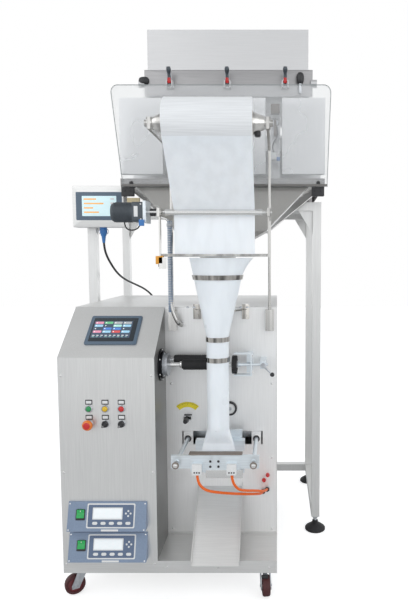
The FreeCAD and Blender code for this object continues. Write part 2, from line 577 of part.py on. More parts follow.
# ---- end seal jaws -------------------------------------------------------------------------

ROD_X = ["-jaw_rod_spacing / 2", "jaw_rod_spacing / 2"]
conduit_gland = rod("conduit_gland", "conduit_socket", "conduit_reach",
                    ("conduit_x", "wall_plane - conduit_reach", "conduit_z"), "Y")
bush_parts = [angle_scale, conduit_gland]
for side, x in enumerate(ROD_X):
    bush_parts.append(cut(
        "bush_%d" % side,
        fuse("bush_body_%d" % side,
             box("bush_plate_%d" % side, ("40", "6", "jaw_slot_height - 1"),
                 (x + " - 20", "wall_plane - 5.5", "jaw_z - jaw_slot_height / 2 + 0.5")),
             box("bush_lug_%d" % side, ("40", "5", "jaw_slot_height + 24"),
                 (x + " - 20", "wall_plane + panel_sheet", "jaw_z - jaw_slot_height / 2 - 12")),
             rod("bush_neck_%d" % side, "bush_radius", "34", (x, "wall_plane - 14", "jaw_z"), "Y")),
        rod("bush_bore_%d" % side, "jaw_rod + 0.05", "80", (x, "wall_plane - 30", "jaw_z"), "Y")))
node("bay_back_panel", group("bay_back_panel", bay_panel, *bush_parts))

JAW_FACE = "(jaw_open + jaw_shut_gap)"
JAW_BACK = "(jaw_open + jaw_shut_gap + jaw_depth)"
PLATE_BACK = "(%s + jaw_spacer)" % JAW_BACK
PLATE_FRONT = "(%s + jaw_plate_sheet)" % PLATE_BACK
jaw_parts = [
    box("front_jaw_block", ("jaw_width", "jaw_depth", "jaw_height"),
        ("-jaw_width / 2", "-" + JAW_BACK, "jaw_z - jaw_height / 2")),
    box("front_jaw_plate", ("jaw_plate_width", "jaw_plate_sheet", "jaw_plate_height"),
        ("-jaw_plate_width / 2", "-" + PLATE_FRONT, "jaw_z - jaw_plate_height / 2")),
    box("front_jaw_cover", ("186", "4", "62"), ("-92", "-%s - 4" % PLATE_FRONT, "jaw_z - 37")),
    box("front_jaw_knife_guard", ("152", "30", "27"),
        ("-43", "-%s + 1" % PLATE_BACK, "jaw_z - jaw_height / 2 - 26.5")),
    box("rod_tie", ("jaw_rod_spacing + 40", "14", "36"),
        ("-jaw_rod_spacing / 2 - 20", "wall_plane + 2.2 * jaw_open", "jaw_z - 18"))]
for side, x in enumerate(ROD_X):
    jaw_parts += [
        rod("jaw_rod_%d" % side, "jaw_rod", "%s + wall_plane + 2.2 * jaw_open + 2" % PLATE_BACK,
            (x, "-" + PLATE_BACK + " - 1", "jaw_z"), "Y"),
        rod("jaw_rod_bolt_%d" % side, "9", "8", (x, "-%s - 7.5" % PLATE_FRONT, "jaw_z"), "Y"),
        rod("jaw_spacer_%d" % side, "11", "jaw_spacer + 2",
            (("-jaw_width / 3", "jaw_width / 3")[side], "-%s - 1" % PLATE_BACK, "jaw_z"), "Y"),
        box("heater_terminal_%d" % side, ("37", "22", "36"),
            (("-83", "45")[side], "-%s - 25.5" % PLATE_FRONT, "jaw_z - 35"))]
node("front_jaw", fuse("front_jaw", *jaw_parts))
rear_slide = fuse(
    "rear_jaw_body",
    box("rear_jaw_block", ("jaw_width", "jaw_depth", "jaw_height"),
        ("-jaw_width / 2", JAW_FACE, "jaw_z - jaw_height / 2")),
    box("rear_jaw_plate", ("130", "10", "76"), ("-42", JAW_BACK + " - 1", "jaw_z - 22")),
    box("rear_jaw_stem", ("60", "wall_plane + 1.5 * jaw_open - %s" % JAW_BACK, "26"),
        ("-30", JAW_BACK, "jaw_z - 13")),
    box("rear_jaw_yoke", ("jaw_rod_spacing + 44", "18", "44"),
        ("-jaw_rod_spacing / 2 - 22", "wall_plane + 1.4 * jaw_open", "jaw_z - 22")))
node("rear_jaw", cut("rear_jaw", rear_slide, *[
    rod("rear_jaw_bore_%d" % side, "jaw_rod + 0.05", "60",
        (x, "wall_plane + jaw_open", "jaw_z"), "Y") for side, x in enumerate(ROD_X)]))

# ---- discharge chute -----------------------------------------------------------------------

LIP_Y = "(front_plane - chute_reach)"
flange_outline = [("wall_plane", "chute_top"), ("wall_plane", "chute_top + chute_flange"),
                  (LIP_Y, "chute_lip + chute_flange"), (LIP_Y, "chute_lip")]
floor_outline = [("wall_plane", "chute_top"), ("wall_plane", "chute_top + 2 * chute_sheet"),
                 (LIP_Y, "chute_lip + 2 * chute_sheet"), (LIP_Y, "chute_lip")]
node("discharge_chute", fuse(
    "discharge_chute",
    profile("chute_floor", "YZ_Plane", [floor_outline], "chute_width",
            ("-10 - chute_width / 2", "0", "0")),
    profile("chute_side_left", "YZ_Plane", [flange_outline], "chute_sheet",
            ("-10 - chute_width / 2", "0", "0")),
    profile("chute_side_right", "YZ_Plane", [flange_outline], "chute_sheet",
            ("-10 + chute_width / 2 - chute_sheet", "0", "0"))))

# ---- forming tube, former and film ---------------------------------------------------------


def ring(name, radius, x, y, z):
    """A circle object, one section of a loft."""
    obj = doc.addObject("Part::Circle", name)
    bind(obj, Radius=radius)
    return seat(obj, x, y, z)


def loft(name, *sections):
    obj = doc.addObject("Part::Loft", name)
    obj.Sections = list(sections)
    obj.Solid = True
    obj.Ruled = True
    return obj


# the former leans: its front line is nearly upright, so that the web slides straight onto it
MOUTH_BACK = "(former_mouth - tube_radius - 32)"


def former_loft(name, grow, low_z="tube_throat", high_z="former_top - 12"):
    return loft(name, ring(name + "_low", "tube_radius + %s" % grow, "0", "0", low_z),
                ring(name + "_high", "former_mouth + %s" % grow, "0", MOUTH_BACK, high_z))


forming_pipe = tube("forming_pipe", "tube_radius", "tube_radius - tube_sheet",
                    "tube_throat - tube_foot", ("0", "0", "tube_foot"))
forming_cone = cut("forming_cone", former_loft("cone_outside", "0"),
                   former_loft("cone_inside", "(-tube_sheet)"))
node("forming_tube", fuse("forming_tube", forming_pipe, forming_cone))

SLEEVE_IN, SLEEVE_OUT = "film_gap", "(film_gap + film_sheet)"
sleeve_cone = cut(
    "sleeve_cone", former_loft("sleeve_cone_out", SLEEVE_OUT),
    former_loft("sleeve_cone_in", SLEEVE_IN),
    profile("sleeve_cone_trim", "YZ_Plane", [[
        ("tube_radius - 1", "tube_throat - 1"), ("12", "former_top"), ("300", "former_top"),
        ("300", "tube_throat - 1")]], "500", ("-250", "0", "0")))
SEAL_TOP = "(jaw_z + jaw_height / 2 + 16)"
seal_section = doc.addObject("Part::Ellipse", "seal_section")
bind(seal_section, MajorRadius="pi * tube_radius / 2 * 1.02", MinorRadius="film_sheet")
seat(seal_section, "0", "0", SEAL_TOP)
flare = loft("sleeve_flare", seal_section,
             ring("sleeve_flare_top", "tube_radius + " + SLEEVE_OUT, "0", "0", "tube_foot - 1"))
film_sleeve = fuse(
    "sleeve", sleeve_cone, flare,
    tube("sleeve_pipe", "tube_radius + " + SLEEVE_OUT, "tube_radius + " + SLEEVE_IN,
         "tube_throat - tube_foot + 1", ("0", "0", "tube_foot - 1")),
    box("sleeve_seal", ("pi * tube_radius", "film_sheet", "jaw_height + 22"),
        ("-pi * tube_radius / 2", "-film_sheet / 2", "jaw_z - jaw_height / 2 - 5")))


def hoop(name, radius, y, z, back):
    """A band round the film, closed behind by its own clamp strap."""
    band = tube(name, radius + " + hoop_sheet + 1", radius + " + 1", "hoop_band", ("0", y, z))
    strap = box(name + "_strap", ("24", back, "hoop_band"),
                ("-12", y + " + " + radius + " + hoop_sheet", z))
    return fuse(name + "_hoop", band, strap)


SLEEVE_RADIUS = "(tube_radius + film_gap + film_sheet)"
node("former_hoops", group(
    "former_hoops",
    cut("upper_hoop",
        former_loft("upper_hoop_out", "(film_gap + film_sheet + hoop_sheet + 3)"),
        former_loft("upper_hoop_in", "(film_gap + film_sheet + 1)"),
        box("upper_hoop_under", ("400", "400", "400"),
            ("-200", "-200", "hoop_upper - hoop_band / 2 - 400")),
        box("upper_hoop_over", ("400", "400", "400"),
            ("-200", "-200", "hoop_upper + hoop_band / 2"))),
    hoop("middle_hoop", SLEEVE_RADIUS, "0", "hoop_middle - hoop_band - 2",
         "wall_plane - tube_radius - 6"),
    hoop("lower_hoop", SLEEVE_RADIUS, "0", "hoop_lower - hoop_band / 2", "20")))

supports = []
for side, sign in enumerate(("-", "")):
    arm = [(sign + "88", "wall_plane"), (sign + "114", "wall_plane"),
           (sign + "46", "tube_radius + 14"), (sign + "26", "tube_radius + 20")]
    supports += [profile("former_arm_%d" % side, "XY_Plane", [arm], "5",
                         ("0", "0", "cabinet_top - 12")),
                 box("former_bracket_%d" % side, ("30", "10", "62"),
                     (("-116", "86")[side], "wall_plane - 10", "cabinet_top - 50")),
                 rod("former_bolt_%d" % side, "7", "6",
                     (("-101", "101")[side], "wall_plane - 16", "cabinet_top - 36"), "Y")]
former_support = cut("former_support", fuse("former_arms", *supports),
                     former_loft("former_relief", "0.2"))
NODES["former_hoops"].Links = NODES["former_hoops"].Links + [former_support]

# ---- film web, roll and rack ---------------------------------------------------------------


def film_strip():
    """The web from the roll over the feed roller to the guide rod, along its true tangents."""
    roll = Vector(0, amount_of("roll_axis_y"), amount_of("roll_axis_z"))
    feed = Vector(0, amount_of("feed_axis_y"), amount_of("feed_axis_z"))
    near_roll = amount_of("roll_radius") + 0.3
    near_feed = amount_of("feed_radius") + 0.3
    line = feed - roll
    sheet_thickness = amount_of("film_sheet")
    turn = math.asin((near_roll + near_feed + sheet_thickness) / line.Length)
    way = Rotation(Vector(1, 0, 0), math.degrees(turn)).multVec(line).normalize()
    square = Vector(0, way.z, -way.y)
    back = Vector(0, 1, 0)
    half_way = (back - square).normalize()
    foot = Vector(0, 0, amount_of("former_top + 2") - feed.z)
    faces = []
    for skin in (0, sheet_thickness):
        reach = near_feed + skin
        leave = roll + square * (near_roll + sheet_thickness - skin)
        land, crown, behind = [feed + side * reach for side in (square * -1, half_way, back)]
        faces.append([Part.LineSegment(leave, land).toShape(),
                      Part.Arc(land, crown, behind).toShape(),
                      Part.LineSegment(behind, behind + foot).toShape()])
    near, far = faces
    ends = [Part.LineSegment(near[side].Vertexes[side].Point, far[side].Vertexes[side].Point)
            for side in (0, -1)]
    outline = Part.Wire(Part.__sortEdges__(near + far + [end.toShape() for end in ends]))
    outline.translate(Vector(-amount_of("film_width") / 2, 0, 0))
    return Part.Face(outline).extrude(Vector(amount_of("film_width"), 0, 0))


node("film_web", group("film_web", shaped("web_strip", film_strip()), film_sleeve))

POST_Y = "(wall_plane - post_setback)"
REACH = "(post_spacing / 2)"
rack = []
for side, sign in enumerate(("-", "")):
    x = sign + REACH
    rack += [
        rod("post_%d" % side, "post_radius", "roll_axis_z - post_foot", (x, POST_Y, "post_foot")),
        box("post_socket_%d" % side, ("34", "post_setback + 10", "88"),
            (x + " - 17", POST_Y + " - 10", "post_foot")),
        box("roll_arm_%d" % side, ("arm_sheet", "%s - roll_axis_y + 44" % POST_Y, "arm_height"),
            (x + " - arm_sheet / 2", "roll_axis_y - 24", "roll_axis_z - arm_height / 2 - 4")),
        box("feed_arm_%d" % side, ("arm_sheet", "%s - feed_axis_y + 34" % POST_Y, "30"),
            (x + " - arm_sheet / 2", "feed_axis_y - 24", "feed_axis_z - 15")),
        rod("roll_boss_%d" % side, "22", "18", (x + " - 9", "roll_axis_y", "roll_axis_z"), "X"),
        rod("feed_boss_%d" % side, "15", "16", (x + " - 8", "feed_axis_y", "feed_axis_z"), "X"),
        box("guide_drop_%d" % side, ("6", "14", "feed_axis_z - guide_axis_z + 8"),
            (x + " - 3", "guide_axis_y - 7", "guide_axis_z - 8"))]
rack_bores = [
    rod("roll_bores", "roll_shaft + 0.05", "post_spacing + 60",
        ("-%s - 30" % REACH, "roll_axis_y", "roll_axis_z"), "X"),
    rod("feed_bores", "6.05", "post_spacing + 60",
        ("-%s - 30" % REACH, "feed_axis_y", "feed_axis_z"), "X")]
guide = rod("guide_rod", "guide_radius", "post_spacing",
            ("-" + REACH, "guide_axis_y", "guide_axis_z"), "X")
sensor = box("film_sensor", ("27", "30", "42"),
             ("-%s - 3" % REACH, "guide_axis_y - 15", "guide_axis_z - 50"))
rack_frame = cut("rack_frame", fuse("rack_parts", guide, *rack), *rack_bores)

node("film_roll", tube("film_roll", "roll_radius", "roll_bore", "film_width",
                       ("-film_width / 2", "roll_axis_y", "roll_axis_z"), "X"))
chucks = []
for side in (0, 1):
    radii = ("22", "roll_bore - 0.2")
    chucks += [taper("chuck_%d" % side, radii[side], radii[1 - side], "40",
                     (("-film_width / 2 - 40", "film_width / 2")[side], "roll_axis_y",
                      "roll_axis_z"), "X"),
               rod("chuck_nose_%d" % side, "roll_bore - 0.2", "14",
                   (("-film_width / 2", "film_width / 2 - 14")[side], "roll_axis_y",
                    "roll_axis_z"), "X")]
node("roll_shaft", fuse(
    "roll_shaft", rod("roll_bar", "roll_shaft", "post_spacing + 36",
                      ("-%s - 18" % REACH, "roll_axis_y", "roll_axis_z"), "X"), *chucks))

node("feed_roller", fuse(
    "feed_roller", rod("feed_drum", "feed_radius", "feed_length",
                       ("-feed_length / 2", "feed_axis_y", "feed_axis_z"), "X"),
    rod("feed_axle", "6", "post_spacing + 46",
        ("-%s - 34" % REACH, "feed_axis_y", "feed_axis_z"), "X"),
    rod("feed_coupling", "14", "20", ("-%s - 33" % REACH, "feed_axis_y", "feed_axis_z"), "X")))
MOTOR_FACE = "(-%s - 36)" % REACH
motor_parts = [
    box("motor_plate", ("motor_plate", "gearbox_side + 8", "gearbox_side + 8"),
        (MOTOR_FACE + " - motor_plate", "feed_axis_y - gearbox_side / 2 - 4",
         "feed_axis_z - gearbox_side / 2 - 4")),
    box("motor_gearbox", ("gearbox_length", "gearbox_side", "gearbox_side"),
        (MOTOR_FACE + " - motor_plate - gearbox_length", "feed_axis_y - gearbox_side / 2",
         "feed_axis_z - gearbox_side / 2")),
    rod("motor_can", "motor_radius", "motor_length",
        (MOTOR_FACE + " - motor_plate - gearbox_length - motor_length", "feed_axis_y",
         "feed_axis_z"), "X"),
    rod("motor_cap", "motor_radius - 5", "5",
        (MOTOR_FACE + " - motor_plate - gearbox_length - motor_length - 5", "feed_axis_y",
         "feed_axis_z"), "X")]
motor_parts += [rod("motor_standoff_%d" % side, "4", "36 - arm_sheet / 2",
                    (MOTOR_FACE, "feed_axis_y %s 19" % "-+"[side], "feed_axis_z"), "X")
                for side in (0, 1)]
motor_body = fuse("motor_body", *motor_parts)

# ---- stand ---------------------------------------------------------------------------------

HALF = "stand_tube / 2"
LEGS = [(STAND_LEFT, "stand_front"), ("stand_right", "stand_front"),
        (STAND_LEFT, STAND_BACK), ("stand_right", STAND_BACK)]
stand = []
for index, (x, y) in enumerate(LEGS):
    stand.append(box("stand_leg_%d" % index, ("stand_tube", "stand_tube", "stand_top - leg_foot"),
                     (x + " - " + HALF, y + " - " + HALF, "leg_foot")))
for index, x in enumerate((STAND_LEFT, "stand_right")):
    for z in ("leg_foot", "stand_top - stand_tube"):
        stand.append(box("side_rail_%d_%s" % (index, z[:3]),
                         ("stand_tube", STAND_BACK + " - stand_front", "stand_tube"),
                         (x + " - " + HALF, "stand_front", z)))
for index, (y, z) in enumerate((("stand_front", "stand_top - stand_tube"),
                                ("stand_inner", "stand_top - stand_tube"),
                                (STAND_BACK, "stand_top - stand_tube"),
                                (STAND_BACK, "leg_foot"))):
    stand.append(box("cross_rail_%d" % index,
                     ("stand_right - " + STAND_LEFT, "stand_tube", "stand_tube"),
                     (STAND_LEFT, y + " - " + HALF, z)))
for index, (x, sign) in enumerate(((STAND_LEFT + " + " + HALF, ""),
                                   ("stand_right - " + HALF, "-"))):
    web = [("0", "0"), (sign + "gusset * 0.6", "0"), ("0", "-gusset")]
    for y in ("stand_front", STAND_BACK):
        stand.append(profile("gusset_%d_%s" % (index, y[6:]), "XZ_Plane", [web], "gusset_sheet",
                             (x, y, "stand_top - stand_tube"), midplane=True))
node("stand_frame", fuse("stand_frame", *stand))
node("stand_feet", group("stand_feet", *[
    revolve("stand_foot_%d" % index, [
        ("0", "0"), ("foot_radius", "0"), ("foot_radius", "12"), ("foot_radius * 0.6", "26"),
        ("15", "34"), ("15", "46"), ("8", "46"), ("8", "leg_foot"), ("0", "leg_foot")],
        (x, y, "0")) for index, (x, y) in enumerate(LEGS)]))

# ---- linear weigher ------------------------------------------------------------------------


INWARD = ((" + ", " + "), (" - ", " + "), (" - ", " - "), (" + ", " - "))


def shell(name, low, low_z, high, high_z, wall):
    """Thin walls between two four-cornered outlines, open above and below."""
    solids = []
    for part, gap in (("outside", "0"), ("inside", wall)):
        sections = []
        for end, corners, height in (("low", low, low_z), ("high", high, high_z)):
            outline = doc.addObject("Sketcher::SketchObject", "%s_%s_%s" % (name, part, end))
            constrain(outline, [[(u + across + gap, v + along + gap)
                                 for (u, v), (across, along) in zip(corners, INWARD)]])
            sections.append(seat(outline, "0", "0", height))
        solids.append(loft("%s_%s" % (name, part), *sections))
    return cut(name, *solids)


drop_front, drop_back = "weigher_front + 12", "weigher_front + bucket_depth - 44"
tray = cut("weigher_tray",
           box("weigher_tray_sheet", ("weigher_right - weigher_left", "weigher_depth",
                                      "weigher_base_rise"),
               ("weigher_left", "weigher_front", "weigher_base_z")),
           box("weigher_drop", ("weigher_right - weigher_left - 2 * tray_sheet",
                                drop_back + " - (%s)" % drop_front, "weigher_base_rise + 2"),
               ("weigher_left + tray_sheet", drop_front, "weigher_base_z - 1")),
           box("weigher_underside", ("weigher_right - weigher_left - 2 * tray_sheet",
                                     "weigher_front + weigher_depth - 22 - tray_sheet - (%s)"
                                     % drop_back, "weigher_base_rise - tray_sheet"),
               ("weigher_left + tray_sheet", drop_back + " + 22", "weigher_base_z")))
feet = [rod("weigher_foot_%d" % index, "20", "weigher_base_z + weigher_base_rise - 1 - stand_top",
            (("weigher_left + 60", "weigher_right - 60")[index % 2],
             ("stand_inner", STAND_BACK)[index // 2], "stand_top")) for index in range(4)]
node("weigher_base", fuse("weigher_base", tray, *feet))

CENTRE = "((weigher_left + weigher_right) / 2)"
BUCKETS = ["weigher_left", CENTRE + " - bucket_width - 1", CENTRE + " + 1",
           "weigher_right - bucket_width"]
DROP = "(door_hinge_z - bucket_foot)"
bucket_shells = []
for index, x in enumerate(BUCKETS):
    side_sheet = [("weigher_front", "bucket_foot"), ("weigher_front + 30", "bucket_foot"),
                  ("weigher_front + bucket_depth", "door_hinge_z + 8"),
                  ("weigher_front + bucket_depth", "panel_head"), ("weigher_front", "panel_head")]
    hollow = [("weigher_front + bucket_sheet", "bucket_foot - 1"),
              ("weigher_front + bucket_depth + 1", "bucket_foot - 1"),
              ("weigher_front + bucket_depth + 1", "door_hinge_z + 8"),
              ("weigher_front + bucket_depth - bucket_sheet", "door_hinge_z + 8"),
              ("weigher_front + bucket_depth - bucket_sheet", "pan_floor - 1"),
              ("weigher_front + bucket_depth + 1", "pan_floor - 1"),
              ("weigher_front + bucket_depth + 1", "panel_head + 1"),
              ("weigher_front + bucket_sheet", "panel_head + 1")]
    bucket_shells.append(cut(
        "bucket_%d" % index,
        profile("bucket_out_%d" % index, "YZ_Plane", [side_sheet], "bucket_width", (x, "0", "0")),
        profile("bucket_in_%d" % index, "YZ_Plane", [hollow], "bucket_width - 2 * bucket_sheet",
                (x + " + bucket_sheet", "0", "0"))))
    hinge_y = "(weigher_front + bucket_depth - 6)"
    flap = [("0", "0"), ("32 - bucket_depth", "-%s" % DROP), ("32 - bucket_depth", "2 - %s" % DROP),
            ("-3", "5"), ("0", "5")]
    door = profile("flap_%d" % index, "YZ_Plane", [flap], "bucket_width - 2 * bucket_sheet - 0.6",
                   (x + " + bucket_sheet + 0.3", hinge_y, "door_hinge_z - 1"))
    pin = rod("flap_pin_%d" % index, "3.5", "bucket_width - 2 * bucket_sheet - 0.6",
              (x + " + bucket_sheet + 0.3", hinge_y, "door_hinge_z - 1"), "X")
    node("bucket_door_%d" % (index + 1), fuse("bucket_door_%d" % (index + 1), door, pin))
pillars = []
for index, x in enumerate(("weigher_left + bucket_width + 8",
                           "weigher_right - bucket_width - bucket_gap + 8")):
    pillars.append(fuse(
        "drive_%d" % index,
        box("drive_post_%d" % index, ("bucket_gap - 16", "40", "300"),
            (x, "weigher_front + bucket_depth - 40", "weigher_base_z + weigher_base_rise")),
        rod("drive_motor_%d" % index, "18", "60",
            (x + " + bucket_gap / 2 - 8", "weigher_front + 81", "weigher_base_z + 260"), "Y"),
        box("drive_crank_%d" % index, ("12", "30", "90"),
            (x + " + bucket_gap / 2 - 14", "weigher_front + 111", "weigher_base_z + 170"))))
BUCKET_BACK = "weigher_front + bucket_depth"
hanger = box("bucket_hanger", ("weigher_right - weigher_left", "6", "70"),
             ("weigher_left", BUCKET_BACK, "door_hinge_z + 20"))
node("weigh_buckets", group("weigh_buckets", fuse("bucket_bank", hanger, *bucket_shells),
                            *pillars))

housing = box("feeder_housing", ("weigher_right - weigher_left", "weigher_depth - bucket_depth - 6"
                                 " - 40", "housing_top - weigher_base_z - weigher_base_rise"),
              ("weigher_left", BUCKET_BACK + " + 46", "weigher_base_z + weigher_base_rise"))
housing_hollow = box("housing_hollow", ("weigher_right - weigher_left - 2 * bucket_sheet",
                                        "weigher_depth - bucket_depth - 46 - 2 * bucket_sheet",
                                        "housing_top - weigher_base_z - weigher_base_rise"
                                        " - bucket_sheet"),
                     ("weigher_left + bucket_sheet", BUCKET_BACK + " + 46 + bucket_sheet",
                      "weigher_base_z + weigher_base_rise"))
hanger_foot = box("hanger_foot", ("weigher_right - weigher_left", "40", "30"),
                  ("weigher_left", BUCKET_BACK + " + 6", "door_hinge_z + 20"))
pans = []
for index, x in enumerate(BUCKETS):
    pans += [box("vibrator_%d" % index, ("90", "150", "pan_floor - housing_top"),
                 (x + " + bucket_width / 2 - 45", BUCKET_BACK + " + 150", "housing_top")),
             cut("pan_%d" % index,
                 box("pan_out_%d" % index, ("bucket_width - 30", "weigher_depth - 280", "60"),
                     (x + " + 15", BUCKET_BACK + " - 40", "pan_floor")),
                 box("pan_in_%d" % index, ("bucket_width - 34", "weigher_depth", "60"),
                     (x + " + 17", BUCKET_BACK + " - 44", "pan_floor + 2")),
                 box("pan_notch_%d" % index, ("bucket_width", "38.5", "3"),
                     (x, BUCKET_BACK + " - 40.5", "pan_floor - 3")))]
node("feeder_unit", fuse("feeder_unit", cut("feeder_case", housing, housing_hollow), hanger_foot,
                         *pans))

SPOUT = rectangle("-spout_radius", "spout_y - spout_radius", "spout_radius",
                  "spout_y + spout_radius")
KNEE = rectangle("-knee_half", "knee_front", "knee_half", "knee_front + knee_depth")
FUNNEL_TOP = [(CENTRE + " - funnel_front_half", drop_front + " - 6"),
              (CENTRE + " + funnel_front_half", drop_front + " - 6"),
              (CENTRE + " + funnel_back_half", drop_back + " + 6"),
              (CENTRE + " - funnel_back_half", drop_back + " + 6")]
node("discharge_funnel", fuse(
    "discharge_funnel",
    shell("funnel_upper", KNEE, "knee_z", FUNNEL_TOP, "weigher_base_z", "bucket_sheet"),
    shell("funnel_lower", SPOUT, "spout_top", KNEE, "knee_z", "bucket_sheet"),
    tube("funnel_spout", "spout_radius", "spout_radius - bucket_sheet",
         "spout_top - former_top + 14", ("0", "spout_y", "former_top - 14"))))

HOPPER_BACK = "hopper_front + hopper_depth"
hopper_full = rectangle("-hopper_width / 2", "hopper_front", "hopper_width / 2", HOPPER_BACK)
hopper_mouth = rectangle("-hopper_width / 2 - 24", "hopper_front + 40", "hopper_width / 2 + 24",
                         HOPPER_BACK + " - 90")
hopper_parts = [
    shell("hopper_bin", hopper_full, "hopper_step", hopper_full, "hopper_top", "hopper_sheet"),
    shell("hopper_throat", hopper_mouth, "hopper_floor", hopper_full, "hopper_step",
          "hopper_sheet"),
    box("hopper_band", ("hopper_width + 24", "12", "64"),
        ("-hopper_width / 2 - 12", "hopper_front - 12", "hopper_step"))]
CLAMP_X = ["(%d * clamp_spacing)" % step for step in (-1, 0, 1)]
for index, x in enumerate(CLAMP_X):
    hopper_parts.append(box("clamp_base_%d" % index, ("34", "16", "30"),
                            (x + " - 17", "hopper_front - 28", "hopper_step + 4")))
    for side, offset in enumerate((" - 15", " + 10.3")):
        ear = "clamp_ear_%d_%d" % (index, side)
        hopper_parts.append(cut(
            ear, box(ear + "_sheet", ("4.7", "24", "30"),
                     (x + offset, "hopper_front - 50", "hopper_step + 4")),
            rod(ear + "_hole", "2.9", "6", (x + offset, "hopper_front - 40", "hopper_step + 22"),
                "X")))
for index, x in enumerate(("weigher_left + bucket_width + bucket_gap / 2",
                           "weigher_right - bucket_width - bucket_gap / 2")):
    hopper_parts.append(box("hopper_leg_%d" % index,
                            ("36", "40", "hopper_step - housing_top + 40"),
                            (x + " - 18", HOPPER_BACK + " - hopper_sheet / 2", "housing_top")))
    hopper_parts.append(rod("hopper_knob_%d" % index, "18", "28",
                            (("-hopper_width / 2 - 40", "hopper_width / 2 + 12")[index],
                             "hopper_front - 6", "hopper_step + 30"), "X"))
node("storage_hopper", fuse("storage_hopper", *hopper_parts))
for index, (name, x) in enumerate(zip(("clamp_left", "clamp_middle", "clamp_right"), CLAMP_X)):
    arm = [("-6", "-8"), ("6", "-8"), ("7", "12"), ("-14", "58"), ("-24", "66"), ("-30", "58"),
           ("-20", "48")]
    arm_body = profile(name + "_arm", "YZ_Plane", [arm], "20",
                       (x + " - 10", "hopper_front - 40", "hopper_step + 22"))
    pivot = rod(name + "_pivot", "2.6", "26", (x + " - 13", "hopper_front - 40",
                                             "hopper_step + 22"), "X")
    node(name, fuse(name, arm_body, pivot))

guard_section = [("weigher_front - guard_sheet - 1", "guard_foot"),
                 ("weigher_front - 1", "guard_foot"), ("weigher_front - 1", "guard_foot + 30"),
                 ("weigher_front - 1 - guard_lean", "guard_head"),
                 ("weigher_front - 1 - guard_lean - guard_sheet", "guard_head"),
                 ("weigher_front - guard_sheet - 1", "guard_foot + 30")]
guard_tabs = [rod("guard_screw_%d" % index, "9", "4 + guard_sheet",
                  (("-guard_width / 2 + 40", "0", "guard_width / 2 - 40")[index],
                   "weigher_front - guard_sheet - 4", "guard_foot + 17"), "Y")
              for index in range(3)]
node("guard_panel", fuse("guard_panel", profile("guard_sheet_panel", "YZ_Plane", [guard_section],
                                                "guard_width", ("-guard_width / 2", "0", "0")),
                         *guard_tabs))

panel_box = box("panel_box", ("panel_width", "panel_depth", "panel_height"),
                ("panel_x", "panel_y", "panel_z"))
panel_recess = box("panel_recess", ("panel_width - 74", "3", "panel_height - 94"),
                   ("panel_x + 40", "panel_y - 1", "panel_z + 50"))
panel_plug = rod("panel_plug", "plug_radius", "panel_z - plug_foot",
                 ("plug_x", "panel_y + panel_depth / 2", "plug_foot"))
panel_bracket = box("panel_bracket", ("60", "stand_front - panel_y - panel_depth - " + HALF, "90"),
                    (STAND_LEFT + " - " + HALF, "panel_y + panel_depth", "panel_z + 40"))
node("weigher_panel", fuse("weigher_panel", cut("panel_case", panel_box, panel_recess),
                           panel_plug, panel_bracket))

# ---- cables --------------------------------------------------------------------------------


def cable(name, points, radius):
    """A round tube along straight runs joined by tangent arcs, each as large as its runs allow."""
    stops = [Vector(*point) for point in points]
    edges = []
    start = stops[0]
    for before, corner_point, after in zip(stops, stops[1:], stops[2:]):
        inward = (corner_point - before).normalize()
        outward = (after - corner_point).normalize()
        half_turn = inward.getAngle(outward) / 2
        shorter = min((corner_point - before).Length, (after - corner_point).Length)
        bend = 0.45 * shorter / math.tan(half_turn)
        print("%s bend radius %.1f mm, %.1f diameters" % (name, bend, bend / radius / 2))
        enter = corner_point - inward * (0.45 * shorter)
        leave = corner_point + outward * (0.45 * shorter)
        bisector = (outward - inward).normalize()
        middle = corner_point + bisector * (bend / math.cos(half_turn) - bend)
        edges += [Part.LineSegment(start, enter).toShape(), Part.Arc(enter, middle, leave).toShape()]
        start = leave
    edges.append(Part.LineSegment(start, stops[-1]).toShape())
    path = Part.Wire(edges)
    way = (stops[1] - stops[0]).normalize()
    section = Part.Wire([Part.Circle(stops[0], way, radius).toShape()])
    solid = path.makePipeShell([section], True, True)
    volume = math.pi * radius ** 2 * path.Length
    if abs(solid.Volume - volume) > 0.01 * volume:
        raise RuntimeError("%s: the tube's volume is off" % name)
    print("%s length %.0f mm" % (name, path.Length))
    return shaped(name, solid)


# the points of each route, from one end to the other
ROUTES = {
    "heater_cable_left": [
        (-66, -136, 551.5), (-65, -137, 527), (-55, -136, 501), (-31, -129.5, 479),
        (12, -113, 465), (66, -80, 446), (116, -34, 424), (150, 30, 396), (168, 96, 368),
        (172, 154.3, 352)],
    "heater_cable_right": [
        (63, -136, 551.5), (64, -136, 527), (73, -132, 501), (90, -117, 477), (116, -80, 458),
        (142, -34, 438), (167, 26, 410), (184, 94, 380), (190, 154.3, 362)],
    "panel_cable": [
        (-581, 461, 1425.6), (-580, 463, 1392), (-573, 482, 1352), (-566, 530, 1312),
        (-568, 610, 1278), (-574, 710, 1252), (-580, 820, 1231), (-582, 930, 1212),
        (-572, 1022, 1192), (-545, 1082, 1168), (-508, 1100, 1132), (-478, 1080, 1090),
        (-458, 1028, 1046), (-446, 966, 1004), (-440, 912, 974), (-437, 867.6, 962)],
    "side_conduit": [
        (-204, 122, 1501.7), (-204, 121, 1165), (-192, 118, 1120), (-176, 119, 1084),
        (-166, 144, 1070.5)],
    "motor_lead": [
        (-330, -85, 1480), (-328, -86, 1464), (-314, -88, 1452), (-292, -89, 1452),
        (-275, -88, 1463), (-270, -86, 1480.7)]}
node("heater_cables", group("heater_cables",
                            cable("heater_cable_left", ROUTES["heater_cable_left"], 5),
                            cable("heater_cable_right", ROUTES["heater_cable_right"], 5)))
node("panel_cable", group("panel_cable", cable("panel_lead", ROUTES["panel_cable"], 5)))
node("film_rack", group("film_rack", rack_frame, sensor,
                        cable("side_conduit", ROUTES["side_conduit"], 9)))
